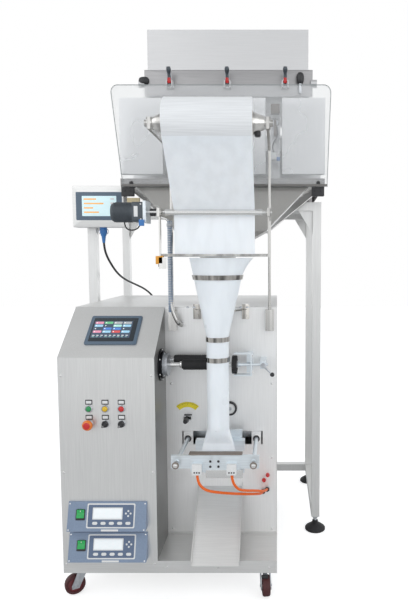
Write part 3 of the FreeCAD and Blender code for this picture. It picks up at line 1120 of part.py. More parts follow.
node("film_motor", group("film_motor", motor_body,
                         cable("motor_lead", ROUTES["motor_lead"], 2.5)))
doc.recompute()
for obj in doc.Objects:
    if "Invalid" in obj.State or "Error" in obj.State:
        raise RuntimeError("%s did not build: %s" % (obj.Label, obj.State))
os.makedirs("parts", exist_ok=True)
for name, obj in NODES.items():
    shape = obj.Shape
    if shape.isNull() or not shape.isValid():
        raise RuntimeError("%s has no valid shape" % name)
    shape.exportStep("parts/%s.step" % name)
print(len(NODES), "nodes written")
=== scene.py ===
import json
import math

import bmesh
import bpy
import numpy as np
from bpy.props import FloatVectorProperty, IntProperty, PointerProperty
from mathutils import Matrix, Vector


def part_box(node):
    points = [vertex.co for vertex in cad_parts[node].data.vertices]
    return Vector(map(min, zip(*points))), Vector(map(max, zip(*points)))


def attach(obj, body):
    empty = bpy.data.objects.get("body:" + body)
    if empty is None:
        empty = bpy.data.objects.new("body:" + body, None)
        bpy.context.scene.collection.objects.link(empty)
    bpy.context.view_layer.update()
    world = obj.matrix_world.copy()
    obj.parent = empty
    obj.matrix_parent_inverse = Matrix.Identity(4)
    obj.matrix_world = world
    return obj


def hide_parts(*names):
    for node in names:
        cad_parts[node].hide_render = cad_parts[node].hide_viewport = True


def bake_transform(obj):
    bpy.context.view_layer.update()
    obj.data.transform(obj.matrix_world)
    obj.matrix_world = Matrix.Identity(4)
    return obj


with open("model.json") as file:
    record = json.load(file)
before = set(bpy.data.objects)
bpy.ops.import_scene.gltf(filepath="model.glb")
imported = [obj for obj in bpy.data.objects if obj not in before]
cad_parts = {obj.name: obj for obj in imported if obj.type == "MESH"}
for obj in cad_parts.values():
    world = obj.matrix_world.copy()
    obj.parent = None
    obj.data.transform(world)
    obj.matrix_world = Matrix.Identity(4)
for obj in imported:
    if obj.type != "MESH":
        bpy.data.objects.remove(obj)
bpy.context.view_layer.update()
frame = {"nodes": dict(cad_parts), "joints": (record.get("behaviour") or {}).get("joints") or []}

bl_info = {
    "name": "Vertical packing machine",
    "version": (1, 0, 0),
    "blender": (4, 5, 0),
    "location": "View3D > Sidebar > Packing machine",
    "description": "Dresses a film packing machine and its weigher with finishes and fine pieces",
    "category": "Add Mesh",
}

MM = 0.001
JOINTS = {joint["name"]: joint for joint in frame["joints"]}
PULL_OFFSET = 65.5
PULL_AXIS = JOINTS["pull_spin"]["pos_m"]
TUBE_AXIS = np.array([PULL_AXIS[0], PULL_AXIS[1] - PULL_OFFSET * MM, 0.0])

# places and sizes of the drawing that pieces share, in millimetres
FRONT_PLANE, WALL_PLANE = -55, 156
CONSOLE_FOOT, CONSOLE_RUN, CONSOLE_CLIMB = 970, 211, 176
CONSOLE_SLOPE = math.atan2(CONSOLE_CLIMB, CONSOLE_RUN)
CONTROLLER_LEAN = math.atan2(104, 32)
CONTROLLER_LEFT, CONTROLLER_FEET = -577, (("lower", 177), ("upper", 301))
TUBE_OUTER, TUBE_INNER, TUBE_FOOT = 42, 40.5, 678.2
CONE_FOOT, CONE_HEAD, CONE_SPREAD, CONE_SHIFT = 1046, 1340, 66, 34
FILM_RADIUS = 42.9
RACK_POST = -201
CONDUIT = (-204, 121.2)
JAW_ROD = 144.5
SCALE_X, SCALE_Z = -147, 673
PANEL_PLUG = (-581, 461)
PULL_FLANGE_FACE, PULL_LEFT = -231, -151

# where the pull flange's paint starts, and how wide its edge is, in metres
FLANGE_STEP, PAINT_EDGE = 0.048, 0.0006
RED = (0.62, 0.02, 0.02)

# an axis and the two directions across it, right-handed
AXES = {"X": ((1, 0, 0), (0, 1, 0), (0, 0, 1)), "Y": ((0, 1, 0), (0, 0, 1), (1, 0, 0)),
        "Z": ((0, 0, 1), (1, 0, 0), (0, 1, 0))}


def at(x, y, z):
    """A drawing's point, in millimetres from the forming tube's axis and the floor, in metres."""
    return TUBE_AXIS + np.array([x, y, z], float) * MM


def drawn(place):
    """A place in metres as the drawing's point, in millimetres."""
    return (np.array(place) - TUBE_AXIS) / MM


def drawn_box(box):
    """The two corners of a box in metres, in the drawing's millimetres."""
    return [drawn(corner) for corner in box]


def ends(box):
    """Where a box in metres starts and ends along X, in the drawing's millimetres."""
    return [corner[0] for corner in drawn_box(box)]


def shaft_line(joint):
    """Where a joint's axis, which runs along X, crosses the film's middle."""
    return at(0, *drawn(JOINTS[joint]["pos_m"])[1:])


class MachineSettings(bpy.types.PropertyGroup):
    """The colours and sizes that a user would change."""
    steel_colour: FloatVectorProperty(
        name="Steel", description="Colour of the brushed steel", subtype="COLOR", size=3,
        min=0, max=1, default=(0.78, 0.78, 0.77))
    bright_colour: FloatVectorProperty(
        name="Bright steel", description="Colour of the weigher's bright steel", subtype="COLOR",
        size=3, min=0, max=1, default=(0.74, 0.74, 0.75))
    film_colour: FloatVectorProperty(
        name="Film", description="Colour of the packing film", subtype="COLOR", size=3,
        min=0, max=1, default=(0.86, 0.89, 0.92))
    controller_colour: FloatVectorProperty(
        name="Controller", description="Colour of the sealing controllers", subtype="COLOR",
        size=3, min=0, max=1, default=(0.23, 0.30, 0.42))
    bezel_colour: FloatVectorProperty(
        name="Bezel", description="Colour of the screens' bezels", subtype="COLOR", size=3,
        min=0, max=1, default=(0.11, 0.16, 0.22))
    roller_ribs: IntProperty(
        name="Roller ribs", description="Ribs round the pull roller", min=8, max=90, default=44)


# ---- surfaces ------------------------------------------------------------------------------


def turned(profile, origin, axis, segments=48):
    """A profile of (radius, height) turned about an axis: height along it, and radius times the
    cosine and sine of the turn across it."""
    radius, height = np.array(profile, float).T
    along, across, beside = (np.array(direction, float) for direction in AXES[axis])
    turn = np.linspace(0, 2 * np.pi, segments, endpoint=False)
    circle = np.cos(turn)[:, None] * across + np.sin(turn)[:, None] * beside
    return (origin + MM * (height[:, None, None] * along + radius[:, None, None] * circle[None]))


def rod(radius, start, end, chamfer=0.4):
    """The profile of a rod with chamfered ends."""
    return [(0, start), (radius - chamfer, start), (radius, start + 1), (radius, end - 1),
            (radius - chamfer, end), (0, end)]


def rounded_outline(half_a, half_b, corner, steps=4):
    """A rectangle whose corners are quarter circles, as (a, b) pairs."""
    corner = max(min(corner, half_a - 1e-4, half_b - 1e-4), 1e-4)
    quarter = np.linspace(0, np.pi / 2, steps + 1)
    turn = np.concatenate([quarter + np.pi / 2 * side for side in range(4)])
    signs = np.repeat([[1, 1], [-1, 1], [-1, -1], [1, -1]], steps + 1, axis=0)
    centres = signs * [half_a - corner, half_b - corner]
    return centres + corner * np.stack([np.cos(turn), np.sin(turn)], -1)


def plate(low, high, axis="Y", corner=3, edge=0.8):
    """A rounded rectangle carried along an axis between two corners in millimetres, drawn in at
    both ends along a quarter circle, and closed at each end's middle."""
    low, high = np.array(low, float), np.array(high, float)
    along, across, beside = (np.array(direction, float) for direction in AXES[axis])
    middle, half = (low + high) / 2, (high - low) / 2
    reach, half_a, half_b = half @ np.abs(along), half @ np.abs(across), half @ np.abs(beside)
    edge = min(edge, reach, half_a / 2, half_b / 2)
    bends = np.linspace(0, np.pi / 2, 4)
    insets = edge * (1 - np.sin(bends))
    levels = reach - edge * (1 - np.cos(bends))
    heights = np.concatenate([-levels, levels[::-1]])
    rings = [rounded_outline(half_a - inset, half_b - inset, corner - inset)
             for inset in np.concatenate([insets, insets[::-1]])]
    rings = np.array([rings[0] * 0] + rings + [rings[0] * 0])
    heights = np.concatenate([heights[:1], heights, heights[-1:]])
    points = (heights[:, None, None] * along + rings[..., :1] * across + rings[..., 1:] * beside)
    return at(*middle) + points * MM


def sweep(points, radius, segments=16):
    """A circle carried along a path in metres. Its frame turns with the path and never twists."""
    points = np.array(points, float)
    heading = np.gradient(points, axis=0)
    heading /= np.linalg.norm(heading, axis=1)[:, None]
    side = np.cross(heading[0], (0, 0, 1) if abs(heading[0][2]) < 0.9 else (0, 1, 0))
    sides = []
    for direction in heading:
        side = side - direction * (side @ direction)
        side = side / np.linalg.norm(side)
        sides.append(side)
    sides = np.array(sides)
    beside = np.cross(heading, sides)
    turn = np.linspace(0, 2 * np.pi, segments, endpoint=False)
    radius = np.broadcast_to(np.asarray(radius, float), (len(points),))
    grid = (points[:, None] + radius[:, None, None] * (
        np.cos(turn)[None, :, None] * sides[:, None] +
        np.sin(turn)[None, :, None] * beside[:, None]))
    caps = [np.repeat(points[end][None, None], segments, axis=1) for end in (0, -1)]
    return np.concatenate([caps[0], grid, caps[1]])


def strip(path, thickness, low, high):
    """A sheet of even thickness: a path in the YZ plane, in millimetres, carried along X."""
    path = np.array(path, float)
    heading = np.gradient(path, axis=0)
    heading /= np.linalg.norm(heading, axis=1)[:, None]
    normal = np.stack([-heading[:, 1], heading[:, 0]], -1) * thickness / 2
    loop = np.concatenate([path + normal, (path - normal)[::-1]])
    across = np.linspace(low, high, 25)
    grid = np.empty((len(across), len(loop), 3))
    grid[..., 0] = across[:, None]
    grid[..., 1:] = loop[None]
    return TUBE_AXIS + grid * MM


def placed(grid, origin, turn):
    """Moves a grid drawn about the tube's axis to an origin, turned by a matrix."""
    return origin + (grid - TUBE_AXIS) @ np.array(turn).T


class Surfaces:
    """Grids of points gathered into one mesh, each with a material of its own."""

    def __init__(self):
        self.points, self.faces, self.paints, self.total = [], [], [], 0

    def add(self, grid, paint=0, caps=False, folded=False):
        """A grid of rows and columns whose columns close on themselves. A folded one is a sheet,
        there and back, whose first and last rows are closed across its thickness."""
        rows, columns = grid.shape[:2]
        start = np.arange(rows - 1)[:, None] * columns
        column = np.arange(columns)
        this, following = start + column, start + (column + 1) % columns
        quads = np.stack([this, following, following + columns, this + columns], -1)
        faces = (quads.reshape(-1, 4) + self.total).tolist()
        if caps:
            last = (rows - 1) * columns
            faces.append((self.total + column[::-1]).tolist())
            faces.append((self.total + last + column).tolist())
        if folded:
            half = np.arange(columns // 2 - 1)
            across = np.stack([half, half + 1, columns - 2 - half, columns - 1 - half], -1)
            for end in (0, (rows - 1) * columns):
                faces += (self.total + end + across).tolist()
        self.points.append(grid.reshape(-1, 3))
        self.faces += faces
        self.paints += [paint] * len(faces)
        self.total += rows * columns

    def turn(self, paint, profile, origin, axis, segments=48):
        """Adds a profile turned about an axis."""
        self.add(turned(profile, origin, axis, segments), paint)

    def plate(self, paint, low, high, axis="Y", corner=3, edge=0.8):
        """Adds a rounded rectangle between two corners."""
        self.add(plate(low, high, axis, corner, edge), paint)

    def tiles(self, origin, face):
        """How to lay plates, drawn flat about a point, on a leaning face."""
        def tile(low, high, paint, corner, edge):
            self.add(placed(plate(low, high, "Z", corner, edge), origin, face), paint)
        return tile

    def studs(self, paint, profile, places, origin, face, segments):
        """Lays small turned profiles, drawn flat about a point, on a leaning face."""
        for place in places:
            stud = turned(profile, TUBE_AXIS + MM * np.array((*place, 0)), "Z", segments)
            self.add(placed(stud, origin, face), paint)

    def make(self, name, body, slot, materials, nodes=(), sharp=35):
        """Builds the piece, its doubles merged and faces outwards, and hangs it on a body."""
        mesh = bpy.data.meshes.new(name)
        mesh.from_pydata(np.concatenate(self.points).tolist(), [], self.faces)
        mesh.polygons.foreach_set("material_index", np.array(self.paints, np.int32))
        for material in materials:
            mesh.materials.append(material)
        work = bmesh.new()
        work.from_mesh(mesh)
        bmesh.ops.remove_doubles(work, verts=work.verts, dist=2e-6)
        bmesh.ops.dissolve_degenerate(work, edges=work.edges, dist=1e-6)
        bmesh.ops.recalc_face_normals(work, faces=work.faces)
        work.to_mesh(mesh)
        work.free()
        mesh.shade_smooth()
        mesh.set_sharp_from_angle(angle=math.radians(sharp))
        piece = bpy.data.objects.new(name, mesh)
        bpy.context.scene.collection.objects.link(piece)
        if body:
            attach(piece, body)
        if nodes:
            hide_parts(*nodes)
        return piece


# ---- finishes ------------------------------------------------------------------------------

FINISHES = {}


def fill(tree, made, inputs):
    """Gives a node's inputs their values, or links them to other nodes' outputs."""
    for key, value in inputs.items():
        if isinstance(value, bpy.types.NodeSocket):
            tree.links.new(value, made.inputs[key])
        else:
            made.inputs[key].default_value = value


def node(tree, kind, inputs, **settings):
    """A new node of a kind, with its settings and its inputs."""
    made = tree.nodes.new("ShaderNode" + kind)
    for name, value in settings.items():
        setattr(made, name, value)
    fill(tree, made, inputs)
    return made


def fill_shader(material, inputs):
    """The same for a material's own shader."""
    fill(material.node_tree, material.node_tree.nodes["Principled BSDF"], inputs)


def grain(tree, scale, stretch, detail=5.0):
    """Noise on object coordinates, drawn out by a different amount along each axis."""
    place = node(tree, "TexCoord", {}).outputs["Object"]
    mapping = node(tree, "Mapping", {"Scale": stretch, "Vector": place})
    noise = {"Scale": scale, "Detail": detail, "Vector": mapping.outputs["Vector"]}
    return node(tree, "TexNoise", noise).outputs["Fac"]


def between(tree, factor, low, high, start=0.3, end=0.7, course="SMOOTHSTEP"):
    """Spreads a value, such as a noise, over a range."""
    spread = {"Value": factor, "From Min": start, "From Max": end, "To Min": low, "To Max": high}
    return node(tree, "MapRange", spread, interpolation_type=course).outputs["Result"]


def finish(name, colour, metallic=0.0, roughness=0.4, scale=6.0, stretch=(1, 1, 1), shade=0.08,
           relief=0.04, relief_depth=0.0006, coat=0.0, smudge=0.06):
    """One procedural finish: a grain that shades the colour and lifts the surface, and a broad
    cloud that varies the gloss, as handling and cleaning do."""
    if name in FINISHES:
        return FINISHES[name]
    material = bpy.data.materials.new(name)
    material.use_nodes = True
    tree = material.node_tree
    fine, broad = grain(tree, scale, stretch), grain(tree, 2.2, (1, 1, 1), 3.0)
    dark = (*[part * (1 - shade) for part in colour], 1)
    pale = (*[min(part * (1 + shade), 1) for part in colour], 1)
    tone = node(tree, "Mix", {"Factor": between(tree, fine, 0.0, 1.0), "A": dark, "B": pale},
                data_type="RGBA")
    bump = node(tree, "Bump", {"Strength": relief, "Distance": relief_depth, "Height": fine})
    fill_shader(material, {
        "Metallic": metallic, "Coat Weight": coat, "Base Color": tone.outputs["Result"],
        "Roughness": between(tree, broad, max(roughness - smudge, 0.03), roughness + smudge),
        "Normal": bump.outputs["Normal"]})
    FINISHES[name] = material
    return material


def brushed(name, colour, along="X", roughness=0.4, metallic=0.8, shade=0.035):
    """Steel with a fine grain drawn out along one axis."""
    stretch = {"X": (0.02, 1, 1), "Y": (1, 0.02, 1), "Z": (1, 1, 0.02)}[along]
    return finish(name, colour, metallic, roughness, 420.0, stretch, shade, 0.12, 0.0003)


def steel():
    return brushed("brushed_steel_finish", bpy.context.scene.packer.steel_colour)


def upright_steel():
    return brushed("upright_steel_finish", bpy.context.scene.packer.steel_colour, "Z")


def bright_steel():
    return brushed("bright_steel_finish", bpy.context.scene.packer.bright_colour, "Z", 0.3)


def polished():
    return brushed("polished_finish", (0.80, 0.80, 0.79), "X", 0.16, 1.0, 0.03)


def zinc():
    return finish("zinc_finish", (0.55, 0.57, 0.60), 0.9, 0.36, 55.0, (1, 1, 1), 0.14, 0.08)


def milled():
    return brushed("milled_finish", (0.82, 0.88, 0.92), "X", 0.36, 0.7, 0.06)


def black_rubber():
    return finish("black_rubber_finish", (0.022, 0.022, 0.024), 0, 0.62, 260.0, shade=0.2,
                  relief=0.25)


def black_plastic():
    return finish("black_plastic_finish", (0.03, 0.03, 0.033), 0, 0.42, 420.0, shade=0.12,
                  relief=0.12)


def slate_plastic():
    return finish("slate_plastic_finish", bpy.context.scene.packer.bezel_colour, 0, 0.4, 420.0,
                  relief=0.1)


def controller_paint():
    return finish("controller_finish", bpy.context.scene.packer.controller_colour, 0, 0.45,
                  320.0, relief=0.12)


def white_plastic():
    return finish("white_plastic_finish", (0.80, 0.81, 0.81), 0, 0.38, 300.0, shade=0.03)


def gloss(name, colour):
    return finish(name + "_finish", colour, 0, 0.22, 160.0, shade=0.05, relief=0.02, coat=0.4)


def lit(name, colour, strength):
    """A display's surface: a dark gloss that glows a little, with a faint grain."""
    material = finish(name + "_finish", colour, 0, 0.25, 90.0, shade=0.03, relief=0.0)
    fill_shader(material, {"Emission Color": (*colour, 1), "Emission Strength": strength})
    return material


def dress(material, *nodes):
    """Gives CAD nodes a finish."""
    for name in nodes:
        slots = frame["nodes"][name].data.materials
        slots.clear()
        slots.append(material)


def screws(surfaces, places, axis, radius=6, rise=3, paint=0, out=-1):
    """Button heads with a hexagon socket, their rise pointing out along the axis by its sign."""
    head = [(0, 0.55 * rise), (0.45 * radius, 0.55 * rise), (0.45 * radius, rise),
            (0.75 * radius, 0.86 * rise), (radius, 0.35 * rise), (radius, 0)]
    for place in places:
        profile = [(r, out * h) for r, h in head]
        surfaces.turn(paint, profile, at(*place), axis, 24)


# ---- rolling and turning pieces -------------------------------------------------------------


def caster_wheel(place):
    """A tyre with a rounded tread, a dished hub and a hub cap each side: the profile turned
    about the axle."""
    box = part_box(place + "_caster_wheel")
    joint = JOINTS[place + "_roll"]
    centre = np.array(joint["pos_m"])
    axis = np.array(joint["axis"], float)
    radius = (box[1][2] - box[0][2]) / 2 / MM
    across = np.cross(axis, (0, 0, 1))
    turn = np.stack([axis, across, (0, 0, 1)], axis=1)
    tyre = [(radius - 11, -13.5), (radius - 8, -15), (radius - 3, -14.5), (radius - 0.6, -11),
            (radius, -4), (radius, 4), (radius - 0.6, 11), (radius - 3, 14.5), (radius - 8, 15),
            (radius - 11, 13.5)]
    hub = [(5.1, -15.8), (11, -15.8), (12.5, -14), (13, -9), (radius - 12, -8.5),
           (radius - 10, -13), (radius - 10, 13), (radius - 12, 8.5), (13, 9), (12.5, 14),
           (11, 15.8), (5.1, 15.8), (5.1, -15.8)]
    surfaces = Surfaces()
    surfaces.add(placed(turned(tyre + tyre[:1], TUBE_AXIS, "X", 64), centre, turn), 0)
    surfaces.add(placed(turned(hub, TUBE_AXIS, "X", 64), centre, turn), 1)
    for side in (-1, 1):
        cap = [(8.5, side * 15.7), (8, side * 16), (6.2, side * 16), (5.1, side * 15.8)]
        surfaces.add(placed(turned(cap, TUBE_AXIS, "X", 32), centre, turn), 2)
    surfaces.make(place + "_wheel_skin", place + "_wheel", "wheel_tread",
                  [FINISHES["tread_finish"], FINISHES["wheel_hub_finish"], zinc()],
                  [place + "_caster_wheel"])


def casters():
    """Four wheels on zinc forks, and the front right one's brake pedal."""
    finish("tread_finish", (0.075, 0.016, 0.018), 0, 0.55, 180.0, shade=0.15, relief=0.2)
    finish("wheel_hub_finish", (0.17, 0.035, 0.04), 0, 0.42, 240.0, shade=0.08)
    for place in ("front_left", "front_right", "rear_left", "rear_right"):
        caster_wheel(place)
        dress(zinc(), place + "_caster_fork")
    # the pedal that locks the front right caster
    joint = JOINTS["front_right_swivel"]["pos_m"]
    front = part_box("front_right_caster_fork")[0][1]
    surfaces = Surfaces()
    middle = drawn((joint[0], front, 0))
    surfaces.plate(0, (middle[0] - 13, middle[1] + 0.5, 78), (middle[0] + 13, middle[1] + 6, 92),
                   "Y", 3, 1)
    surfaces.plate(1, (middle[0] - 9, middle[1] + 4, 86), (middle[0] + 9, middle[1] + 24, 90), "Z",
                   2, 0.6)
    surfaces.make("caster_brake", "front_right_fork", "black_plastic",
                  [black_plastic(), zinc()])


def pull_roller():
    """A profile turned about the shaft, the radius of its rubber varied by a fine wave along its
    length that is cut off flat at its crests and valleys."""
    origin = shaft_line("pull_spin")
    left, right, radius = PULL_LEFT, 28, 22
    ribs = bpy.context.scene.packer.roller_ribs
    along = np.linspace(left + 6, right - 8, ribs * 6 + 1)
    wave = radius - 0.9 + 0.8 * np.clip(np.cos((along - along[0]) / (along[-1] - along[0])
                                               * 2 * np.pi * ribs) * 1.6, -1, 1) - 0.2
    start = [(9.3, left), (radius - 5, left), (radius - 4.5, left + 5), (radius - 1, left + 5.4)]
    end = [(radius - 1, right - 7), (radius - 6.5, right), (9.3, right)]
    profile = start + list(zip(wave, along)) + end
    surfaces = Surfaces()
    surfaces.turn(0, profile, origin, "X", 64)
    surfaces.turn(1, rod(9, *ends(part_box("pull_roller")), 1), origin, "X", 40)
    surfaces.turn(1, [(9, left - 9), (13, left - 9), (13.4, left - 8.4), (13.4, left - 1.4),
                      (13, left - 1), (9, left - 1)], origin, "X", 40)
    surfaces.make("pull_roller_skin", "pull_roller", "black_rubber", [black_rubber(), polished()],
                  ["pull_roller"])


def pinch_roller():
    """A sleeve and its shaft: profiles turned about the axis, the sleeve's radius stepping in at
    each fine groove."""
    origin = shaft_line("pinch_spin")
    start = PULL_LEFT - 40
    sleeve = [(6, start), (17, start), (19, start + 2), (19.9, start + 5)]
    for groove in np.linspace(start + 12, start + 138, 15):
        sleeve += [(19.9, groove - 1.6), (18.9, groove - 1), (18.9, groove + 1),
                   (19.9, groove + 1.6)]
    sleeve += [(19.9, start + 145), (19, start + 148), (17, start + 150), (6, start + 150)]
    surfaces = Surfaces()
    surfaces.turn(0, sleeve, origin, "X", 48)
    surfaces.turn(1, rod(6, *ends(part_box("pinch_roller"))), origin, "X", 32)
    surfaces.make("pinch_roller_skin", "pinch_roller", "black_rubber",
                  [black_rubber(), polished()], ["pinch_roller"])


def press_wheel():
    """A tyre with three grooves and a dished hub: profiles turned about the axis, and a ring of
    small bolts."""
    axis, origin = drawn(JOINTS["press_wheel_spin"]["pos_m"]), shaft_line("press_wheel_spin")
    middle, rim, bolt_circle = sum(ends(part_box("press_wheel"))) / 2, 37, 21
    tyre = [(rim - 9, -10), (rim - 1.5, -10), (rim - 0.3, -8.4)]
    for groove in (-4.5, 0, 4.5):
        tyre += [(rim, groove - 1.2), (rim - 0.9, groove - 0.5), (rim - 0.9, groove + 0.5),
                 (rim, groove + 1.2)]
    tyre += [(rim - 0.3, 8.4), (rim - 1.5, 10), (rim - 9, 10), (rim - 9, -10)]
    hub = [(6.1, -12), (13, -12), (14, -11), (14, -7), (rim - 9, -7), (rim - 9, 7), (14, 7),
           (14, 11), (13, 12), (6.1, 12), (6.1, -12)]
    surfaces = Surfaces()
    for profile, paint in ((tyre, 0), (hub, 1)):
        surfaces.turn(paint, [(r, middle + x) for r, x in profile], origin, "X", 64)
    for swing in np.radians(range(0, 360, 60)):
        place = at(0, axis[1] + bolt_circle * math.cos(swing),
                   axis[2] + bolt_circle * math.sin(swing))
        surfaces.turn(2, [(0, middle - 7.9), (3, middle - 7.9), (3.4, middle - 7.4),
                          (3.4, middle - 6.8)], place, "X", 12)
    surfaces.make("press_wheel_skin", "press_wheel", "black_rubber",
                  [black_rubber(), zinc(), black_plastic()], ["press_wheel"])


def pull_fixings():
    """The flange's ring of screws and the yoke's pair."""
    dress(FINISHES["flange_finish"], "pull_unit_flange")
    dress(milled(), "press_wheel_yoke")
    surfaces = Surfaces()
    axis, bolt_circle, yoke_face = drawn(PULL_AXIS), 60, 130.9
    for swing in np.radians(range(30, 390, 60)):
        screws(surfaces, [(PULL_FLANGE_FACE, axis[1] + bolt_circle * math.cos(swing),
                           axis[2] + bolt_circle * math.sin(swing))], "X", 3.6, 3, 0, 1)
    screws(surfaces, [(yoke_face, axis[1], z) for z in (954, 890)], "X", 5, 4, 0, 1)
    surfaces.make("pull_unit_screws", "root", "zinc_plate", [polished()])


def clamp_lever():
    """A circle that narrows along the arm, a ball at its end, and the hub that both turn on."""
    place = np.array(JOINTS["clamp_lever_turn"]["pos_m"])
    swing = math.radians(45)
    heading = np.array([math.cos(swing), 0, -math.sin(swing)])
    low = place + np.array([0, -8, 0]) * MM
    surfaces = Surfaces()
    path = [low + heading * step * MM for step in np.linspace(0, 46, 9)]
    surfaces.add(sweep(path, np.linspace(4.6, 3.4, 9) * MM, 24), 0)
    ball = np.linspace(-np.pi / 2, np.pi / 2, 17)
    turn = np.stack([heading, (0, 1, 0), np.cross(heading, (0, 1, 0))], axis=1)
    surfaces.add(placed(turned([(9 * math.cos(a), 52 + 9 * math.sin(a)) for a in ball], TUBE_AXIS,
                               "X", 32), low, turn), 1)
    surfaces.turn(0, [(0, -14.3), (8.5, -14.3), (10, -12.8), (10, -0.4), (0, -0.4)], place, "Y",
                  32)
    surfaces.make("clamp_lever_skin", "clamp_lever", "zinc_plate", [zinc(), black_plastic()],
                  ["clamp_lever"])


# ---- film -----------------------------------------------------------------------------------


def film_strip():
    """The film leaves the roll low in front, crosses to the back of the feed roller along the
    line that touches both, turns over it by an arc, and hangs straight to the former."""
    roll, feed = np.array((-211.0, 1808.0)), np.array((-85.0, 1517.0))
    near_roll, near_feed = 85.7, 12.2
    line = feed - roll
    turn = math.asin((near_roll + near_feed) / np.linalg.norm(line))
    spin = np.array([[math.cos(turn), -math.sin(turn)], [math.sin(turn), math.cos(turn)]])
    way = spin @ line / np.linalg.norm(line)
    square = np.array((way[1], -way[0]))
    leave, land = roll + square * near_roll, feed - square * near_feed
    sweep_angle = math.atan2(-square[1], -square[0])
    path = [leave + (land - leave) * t for t in np.linspace(0, 1, 40)]
    path += [feed + near_feed * np.array((math.cos(a), math.sin(a)))
             for a in np.linspace(sweep_angle, 0, 9)[1:]]
    path += [np.array((feed[0] + near_feed, feed[1] - drop)) for drop in np.linspace(4, 163, 30)]
    surfaces = Surfaces()
    surfaces.add(strip(path, 0.7, -149.8, 149.8), 0, folded=True)
    return surfaces


def film_sleeve(surfaces):
    """The film lies on the former's cone in front, closes to a circle at the throat, follows the
    tube, and flattens below it: the circle's half width grows to half its girth as its depth
    shrinks. Fine upright folds, a few waves round it, deepen towards the seal."""
    def closed(half_x, half_y, centre, height, folds):
        angle = np.linspace(-1.5 * np.pi, 0.5 * np.pi, 97)
        ripple = folds * (np.cos(9 * angle) + 0.6 * np.cos(17 * angle + 1.3))
        return angle, half_x + ripple, half_y + ripple, centre, height

    rows, flat, thin = [], 66, 0.22
    for z in np.linspace(562, 686, 44):
        opened = max(z - 616, 0) / 74
        half_x = flat + (FILM_RADIUS - flat) * min(max(z - 592, 0) / 86, 1)
        half_y = thin + (FILM_RADIUS - thin) * math.sin(opened * math.pi / 2)
        rows.append(closed(half_x, half_y, 0, z, 0.5 * (1 - opened) * min(opened * 6, 1)))
    for z in np.linspace(690, 1044, 30):
        rows.append(closed(FILM_RADIUS, FILM_RADIUS, 0, z, 0.05))
    for z in np.linspace(1048, 1350, 44):
        share = (z - CONE_FOOT) / (CONE_HEAD - CONE_FOOT)
        radius, centre = FILM_RADIUS + CONE_SPREAD * share, CONE_SHIFT * share
        # the film's edges climb the cone in one plane
        edge = 41 - (z - 1045) / 307 * 29
        reach = math.asin((edge - centre) / radius)
        angle = np.linspace(-math.pi - reach, reach, 97)
        slack = 0.3 * max((z - 1262) / 88, 0) ** 2 * np.clip(np.cos(angle), 0, 1) ** 2
        rows.append((angle, radius * (1 + slack), radius, centre, z))
    sheets = []
    for side in (1, -1):
        sheet = []
        for angle, half_x, half_y, centre, z in rows:
            skin = side * np.minimum(0.35, 0.7 * half_y)
            sheet.append(np.stack([(half_x + skin) * np.cos(angle),
                                   centre + (half_y + skin) * np.sin(angle),
                                   np.full_like(angle, z)], -1))
        sheets.append(np.array(sheet))
    grid = np.concatenate([sheets[0], sheets[1][:, ::-1]], axis=1)
    surfaces.add(TUBE_AXIS + grid * MM, 0, folded=True)
    return surfaces


def film_roll():
    """The wound roll: fine rings on its ends, the core, and the paper-white outer turn."""
    joint = np.array(JOINTS["unwind"]["pos_m"])
    surfaces = Surfaces()
    rings = [[(r, side * (150 + 0.25 * math.cos(i * 2.7) - 0.4))
              for i, r in enumerate(np.linspace(40, 83.5, 60))] for side in (-1, 1)]
    profile = ([(38.1, -149.2)] + rings[0] + [(84.6, -149), (85, -148), (85, 148), (84.6, 149)]
               + rings[1][::-1] + [(38.1, 149.2), (38.1, -149.2)])
    surfaces.turn(0, profile, joint, "X", 96)
    core = [(38.1, -150), (41, -150), (41, -148.6), (38.1, -148.6), (38.1, -150)]
    for side in (-1, 1):
        surfaces.turn(1, [(r, side * abs(x)) for r, x in core], joint, "X", 64)
    surfaces.make("film_roll_skin", "film_roll", "film",
                  [FINISHES["film_roll_finish"], FINISHES["core_finish"]], ["film_roll"])


